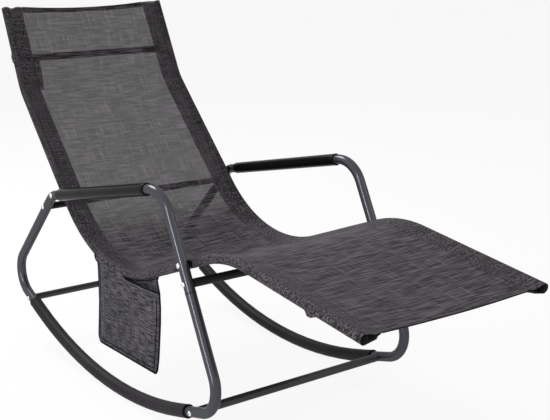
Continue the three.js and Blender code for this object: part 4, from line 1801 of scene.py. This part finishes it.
    def build_flap(self) -> bpy.types.Object:
        """Makes the loose edge of the under layer below the head bar, on the right-hand side."""
        first = self.seat_frame.head_bar_inset + self.flap_start
        lines, columns = self.flap_grid
        shares, steps = np.linspace(0.0, 1.0, lines), np.linspace(0.0, 1.0, columns)
        rows = []
        for share in shares:
            width = self.flap_widths[0] * (1 - share) + self.flap_widths[1] * share
            curl = self.flap_curl * math.sin(share * self.flap_waves)
            ys = (width + self.flap_tuck) * steps - self.seam - self.flap_tuck
            distance = first + self.flap_length * share
            rows.append([
                self.surface(distance, y, -self.flap_drop - curl * step) for y, step in zip(ys, steps)
            ])
        across, length = self.flap_weave
        uv = np.stack(np.meshgrid(np.linspace(*across, columns), np.linspace(*length, lines)), axis=-1)
        piece = cloth("sling_under_flap", np.array(rows), uv, self.flap_thickness)
        return self.keep(piece, self.mesh, Slot.SLING)

    def build_stitches(self) -> bpy.types.Object:
        """Sews the sleeves and the hems."""
        lift = self.thickness / 2 + self.stitch_lift
        ys = [side.value * (self.seam + inset) for side in Side for inset in self.sleeve_stitches]
        lines = [[self._on_sleeve(mark, y, lift) for mark in self.marks[::2]] for y in ys]
        inset = self.hem_width - self.hem_stitch
        for edge in (inset - self.head_overrun, self.end - inset):
            lines.append([self.surface(edge, y, lift) for y in np.linspace(-self.seam, self.seam, 50)])
        return self.stitched("sling_stitches", lines, Slot.SLING)

    def build(self) -> None:
        piece = self.build_cloth()
        hems = [
            self.build_hem("sling_head_hem", -self.head_overrun, 1.0),
            self.build_hem("sling_foot_hem", self.end, -1.0),
            self.build_flap(),
        ]
        sewn = self.build_stitches()
        rails = [side.node("seat_rail_tube") for side in Side]
        self.cut


@dataclass(frozen=True)
class Tape:
    """A flat folded tape on the pocket, with half its width and half its thickness."""

    name: str
    wide: float
    thick: float
    finish: Finish = TAPE

    def sweep(self, line: Sequence[Point]) -> bpy.types.Object:
        """Sweeps the tape along a line in the pocket's plane.

        Args:
            line: Points along it.

        Returns:
            The tape.
        """
        points = np.array(line)
        out = np.array([0.0, 1.0, 0.0])
        turns = np.linspace(0, 2 * math.pi, 14, endpoint=False)
        rings = []
        for index, point in enumerate(points):
            way = points[min(index + 1, len(points) - 1)] - points[max(index - 1, 0)]
            side, up = unit(np.cross(unit(way), out)) * self.wide, out * self.thick
            rings.append([point + side * math.cos(turn) + up * math.sin(turn) for turn in turns])
        return loft(self.name, rings, closed=False, crease=60.0)


@dataclass
class SidePocket(Assembly):
    """The pouch sewn under the right-hand sleeve, its places measured from the floor contact."""

    sling: Sling
    cut: Pair = (0.31, 0.25)
    outer_y: float = -0.2624
    inner_y: float = -0.2500
    edge_y: float = -0.2562
    rear: Sequence[Pair] = (
        (-0.1290, 0.327), (-0.1240, 0.292), (-0.1240, 0.206), (-0.1300, 0.150), (-0.1350, 0.112),
        (-0.1330, 0.0990),
    )
    front: Sequence[Pair] = (
        (0.1530, 0.3400), (0.1600, 0.3260), (0.1690, 0.3000), (0.1710, 0.2640), (0.1690, 0.2270),
        (0.1630, 0.1750), (0.1580, 0.1360), (0.1490, 0.0950),
    )
    mouth_height: float = 0.2985
    mouth_start: float = 0.022
    mouth_drop: float = 0.022
    mouth_end: float = 0.309
    outer_tuck: float = 0.0015
    inner_tuck: float = 0.0030
    beside_reach: float = 0.012
    bow_rise: Pair = (9.6, 8.0)
    fold_depth: float = 0.0016
    fold_noise: Point = (9.0, 7.0, 40.0)
    bottom: float = 0.0920
    corner: float = 0.011
    thickness: float = 0.0009
    tape_lift: float = 0.0006
    mouth_lift: float = 0.0004
    turn_run: Pair = (0.985, 0.72)
    turn_gap: float = 0.002
    hem_share: Pair = (0.042, 0.06)
    hem_ends: Pair = (0.94, 0.97)
    sleeve_shadow_run: Pair = (0.60, 1.0)
    sleeve_shadow_height: float = 0.975
    fold_highlight_run: Pair = (0.47, 0.985)
    fold_highlight_height: float = 0.982
    side_stitch: float = 0.018
    side_run: Pair = (0.04, 0.97)
    mouth_stitch: float = 0.955
    mouth_run: Pair = (0.65, 0.99)
    past_valley: Pair = (0.3, 0.8)
    tapes: Sequence[Tape] = (
        Tape("pocket_edge_binding", wide=0.0033, thick=0.0016),
        Tape("pocket_mouth_binding", wide=0.0014, thick=0.0010),
        Tape("pocket_hem_tape", wide=0.0015, thick=0.0006),
        # Painted shadow of the sleeve on the inner panel.
        Tape("pocket_top_tape", wide=0.0012, thick=0.0008),
        # Painted highlight of the mouth's rolled fold.
        Tape("pocket_mouth_fold", wide=0.0011, thick=0.0008, finish=FOLD_HIGHLIGHT),
    )
    rows: int = 36
    columns: int = 44

    @cached_property
    def mesh(self) -> MeshCloth:
        """The pocket's finish."""
        dark, light = linear(30, 28, 32), linear(92, 89, 95)
        return MeshCloth("pocket mesh", self.cut, dark, light, weft=(30, 430), slub=0.5, blotch=0.8)

    @cached_property
    def _sleeve(self) -> tuple[np.ndarray, np.ndarray, np.ndarray]:
        """X of the rail's axis past the valley, and heights of axis and sleeve's under side there."""
        path = self.layout.seat
        first, last = (share * path.length for share in self.past_valley)
        stations = [path.at(mark) for mark in np.linspace(first, last, 240)]
        axis = np.array([station.point for station in stations])
        under = np.array([station.point - station.up * self.sling.sleeve_radius for station in stations])
        return axis[:, 0], axis[:, 1], np.interp(axis[:, 0], under[:, 0], under[:, 1])

    def _under(self, x: float) -> float:
        """Height of the sleeve's under side."""
        xs, _, under = self._sleeve
        return float(np.interp(x + self.layout.contact_x, xs, under))

    def _top(self, x: float, outer: bool) -> float:
        """Height of a panel's top edge.

        Args:
            x: The place.
            outer: Whether it is the outer panel.

        Returns:
            The height.
        """
        if not outer:
            return self._under(x) + self.inner_tuck
        xs, axis, _ = self._sleeve
        sewn = float(np.interp(x + self.layout.contact_x, xs, axis)) - self.outer_tuck
        share = eased(x, self.mouth_start - self.mouth_drop, self.mouth_start)
        return (1 - share) * sewn + share * self.mouth_height

    def _foot(self, u: float) -> float:
        """Height of the bottom edge, turned up at its two corners.

        Args:
            u: Share of the way across.

        Returns:
            The height.
        """
        width = self.front[-1][0] - self.rear[-1][0]
        off = max(0.0, self.corner - min(u, 1 - u) * width)
        return self.bottom + self.corner - math.sqrt(self.corner**2 - off**2)

    def _across(self, u: float, height: float) -> float:
        """The x of a share of the way from the rear edge to the front edge at a height.

        Args:
            u: The share.
            height: The height.

        Returns:
            The x.
        """
        ends = []
        for edge in (self.rear, self.front):
            xs, heights = zip(*reversed(edge))
            ends.append(float(np.interp(height, heights, xs)))
        return ends[0] + (ends[1] - ends[0]) * u

    def _sideways(self, x: float, z: float, y: float, u: float, v: float) -> float:
        """Y of a panel point: sewn at the edges, bowed between them and laid beside the sleeve.

        Args:
            x: Its x.
            z: Its height.
            y: The panel's own y.
            u: Share of the way across.
            v: Share of the way up.

        Returns:
            Its y.
        """
        bow = min(1.0, u * (1 - u) * self.bow_rise[0]) * min(1.0, v * self.bow_rise[1])
        under = self._under(x)
        start = under - self.beside_reach
        share = max(bow, eased(z, start, under))
        fold = self.fold_depth * noise.noise(Vector((x, z, y)) * Vector(self.fold_noise)) * bow
        return self.edge_y + (y - self.edge_y) * share + fold * (1 - between(z, start, under))

    def _point(self, u: float, v: float, outer: bool) -> Point:
        """A panel point from its shares across and up.

        Args:
            u: Share of the way across.
            v: Share of the way up.
            outer: Whether it is on the outer panel.

        Returns:
            The point.
        """
        x = self.rear[0][0] + (self.front[0][0] - self.rear[0][0]) * u
        for _ in range(3):
            x = self._across(u, self._top(x, outer))
        low = self._foot(u)
        z = low + (self._top(x, outer) - low) * v
        x = self._across(u, z)
        return x, self._sideways(x, z, self.outer_y if outer else self.inner_y, u, v), z

    def _panel(self, name: str, outer: bool, *replaces: str) -> bpy.types.Object:
        """Makes one panel that bows away from the other between its bound edges.

        Args:
            name: The panel's name.
            outer: Whether it is the outer one.
            replaces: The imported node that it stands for.

        Returns:
            The panel.
        """
        us, vs = (np.arange(count + 1) / count for count in (self.columns, self.rows))
        flat = np.array([[self._point(u, v, outer) for u in us] for v in vs])
        uv = flat[..., [0, 2]] / self.cut + (0.5, 0.0)
        rows = flat + (self.layout.contact_x, 0.0, 0.0)
        if not outer:
            rows, uv = rows[:, ::-1], uv[:, ::-1]
        return self.keep(cloth(name, rows, uv, self.thickness), self.mesh, Slot.POCKET, *replaces)

    def _line(
        self, us: np.ndarray | float, vs: np.ndarray | float, lift: float = 0.0, outer: bool = True
    ) -> list[Point]:
        """Points on a panel, lifted off its face towards the camera's side.

        Args:
            us: Shares across, or one for all.
            vs: Shares up, or one for all.
            lift: Distance off the face.
            outer: Whether they are on the outer panel.

        Returns:
            The points.
        """
        found = [self._point(float(u), float(v), outer) for u, v in np.broadcast(us, vs)]
        return [(x + self.layout.contact_x, y - lift, z) for x, y, z in found]

    def _bindings(self) -> list[bpy.types.Object]:
        """Makes the tape round the edges, along the mouth and inside the bottom, with a dark strip of painted
        sleeve shadow and a light strip of painted fold highlight.
        """
        up, flat, lift = np.linspace(0.0, 1.0, 30), np.linspace(0.0, 1.0, 60), self.tape_lift
        inner_front = self._line(1.0, np.linspace(*self.turn_run, 10), outer=False)
        turn = inner_front[-1][2] - self.turn_gap
        front = [point for point in self._line(1.0, up[::-1]) if point[2] < turn]
        edge = [*inner_front, *front, *self._line(flat[::-1], 0.0)[1:-1], *self._line(0.0, up)]
        mouth = [point for point in self._line(flat[30:], 1.0, self.mouth_lift) if point[2] < self.mouth_end]
        near, far = self.hem_share
        hem = [
            *self._line(1 - near, np.linspace(self.hem_ends[0], far, 26), lift),
            *self._line(np.linspace(1 - near, near, 40), far, lift)[1:-1],
            *self._line(near, np.linspace(far, self.hem_ends[1], 26), lift),
        ]
        # Painted shadow: a dark strip on the inner panel just under the sleeve.
        top = self._line(np.linspace(*self.sleeve_shadow_run, 24), self.sleeve_shadow_height, lift, outer=False)
        # Painted highlight: a light strip along the mouth's rolled fold.
        fold = self._line(np.linspace(*self.fold_highlight_run, 24), self.fold_highlight_height, lift)
        laid = zip(self.tapes, (edge, mouth, hem, top, fold))
        return [self.keep(tape.sweep(line), tape.finish, Slot.POCKET) for tape, line in laid]

    def _stitches(self) -> bpy.types.Object:
        """Sews the mouth's hem and the sides."""
        up = np.linspace(*self.side_run, 30)
        lines = [self._line(np.linspace(*self.mouth_run, 24), self.mouth_stitch, self.tape_lift)]
        lines += [self._line(u, up, self.tape_lift) for u in (self.side_stitch, 1 - self.side_stitch)]
        return self.stitched("pocket_stitches", lines, Slot.POCKET)

    def build(self) -> None:
        outer = self._panel("pocket_outer_panel", True, "side_pocket")
        inner = self._panel("pocket_inner_panel", False)
        trims = [*self._bindings(), self._stitches()]
        self.cut
        self.cut


@dataclass(frozen=True)
class Lamp:
    """A soft lamp: its direction from the lounge, its width and height, and its power."""

    name: str
    toward: Point
    size: Pair
    power: float


@dataclass
class Studio:
    """Pale floor, soft lamps and the photograph's camera."""

    layout: Layout
    sensor: float = 36.0
    lens: float = 73.707
    yaw: float = 0.920616
    pitch: float = 0.245041
    eye: Point = (2.3159, -1.5514, 1.1227)
    floor_reach: float = 60.0
    floor_white: Colour = (0.93, 0.93, 0.93)
    floor_glow: float = 0.9
    dome: float = 0.36
    lamp_distance: float = 3.6
    lamp_aim: Point = (0.1, 0.0, 0.4)
    lamps: Sequence[Lamp] = (
        Lamp("side_lamp", toward=(0.29, -0.90, 0.29), size=(0.44, 2.8), power=76.0),
        Lamp("top_lamp", toward=(-0.68, -0.15, 0.72), size=(1.4, 1.4), power=89.0),
        Lamp("fill_lamp", toward=(0.76, 0.447, 0.48), size=(0.34, 1.6), power=7.5),
    )

    def build(self) -> None:
        """Makes camera, floor, world and lamps."""
        self._camera()
        self._floor()
        self._world()
        for lamp in self.lamps:
            self._hang(lamp)

    def _place(self, spot: Point) -> Vector:
        """A place measured from the floor contact."""
        return Vector(spot) + Vector((self.layout.contact_x, 0.0, 0.0))

    def _camera(self) -> None:
        """Stands the camera where the photograph was taken from."""
        data = bpy.data.cameras.new("portrait")
        data.sensor_width = self.sensor
        data.sensor_fit = "HORIZONTAL"
        data.lens = self.lens
        camera = link("portrait", data)
        flat = math.cos(self.pitch)
        look = Vector((-math.sin(self.yaw) * flat, math.cos(self.yaw) * flat, -math.sin(self.pitch)))
        right = Vector((math.cos(self.yaw), math.sin(self.yaw), 0.0))
        turn = Matrix((right, right.cross(look), -look)).transposed()
        camera.matrix_world = Matrix.Translation(self._place(self.eye)) @ turn.to_4x4()
        bpy.context.scene.camera = camera

    def _floor(self) -> None:
        """Lays a pale floor that keeps a soft shadow."""
        far = self.floor_reach
        corners = [(-far, -far, 0), (far, -far, 0), (far, far, 0), (-far, far, 0)]
        floor = link("floor", mesh_of("floor", corners, (), [(0, 1, 2, 3)]))
        graph = ShaderGraph.named("pale floor")
        matt = graph.value("ShaderNodeBsdfDiffuse", None, {"Color": self.floor_white})
        glow = graph.value("ShaderNodeEmission", None, {"Color": (1.0, 1.0, 1.0), "Strength": 1.0})
        mixed = {0: graph.backdrop() * self.floor_glow, 1: matt, 2: glow}
        floor.data.materials.append(graph.surface(graph.value("ShaderNodeMixShader", None, mixed)))

    def _world(self) -> None:
        """Lights softly from all round and shows white behind."""
        world = bpy.data.worlds.new("studio")
        bpy.context.scene.world = world
        graph = ShaderGraph(world)
        white = (1.0, 1.0, 1.0)
        soft, bright = (
            graph.value("ShaderNodeBackground", None, {"Color": white, "Strength": strength})
            for strength in (self.dome, 1.0)
        )
        mixed = {0: graph.backdrop(), 1: soft, 2: bright}
        graph.surface(graph.value("ShaderNodeMixShader", None, mixed))

    def _hang(self, lamp: Lamp) -> None:
        """Hangs a lamp so that it faces the lounge.

        Args:
            lamp: The lamp.
        """
        data = bpy.data.lights.new(lamp.name, "AREA")
        data.shape = "RECTANGLE"
        data.size, data.size_y = lamp.size
        data.energy = lamp.power
        toward = Vector(lamp.toward)
        place = self._place(self.lamp_aim) + toward.normalized() * self.lamp_distance
        turn = (-toward).to_track_quat("-Z", "Y").to_matrix()
        link(lamp.name, data).matrix_world = Matrix.Translation(place) @ turn.to_4x4()


def dress_hidden_nodes() -> None:
    """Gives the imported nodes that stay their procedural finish."""
    for node in FRAME["nodes"].values():
        if not node.hide_render:
            node.data.materials.clear()
            node.data.materials.append(ZINC.made)


def main() -> None:
    """Builds the lounge and the studio."""
    logging.basicConfig(level=logging.INFO, format="%(message)s")
    bpy.context.scene.view_settings.view_transform = "Standard"
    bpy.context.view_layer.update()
    layout = Layout(contact_x=FRAME["record"]["mounts"][0]["pos_m"][0])
    Studio(layout).build()
    shop = Workshop(TubeTree(), StitchTree(), FastenerTree())
    seat_frame = SeatFrame(layout, shop)
    sling = Sling(layout, shop, seat_frame)
    for side in Side:
        SideFrame(layout, shop, side).build()
    for assembly in (CrossTubes(layout, shop), Fasteners(layout, shop), seat_frame, sling):
        assembly.build()
    SidePocket(layout, shop, sling).build()
    dress_hidden_nodes()


if __name__ == "__main__":
    main()
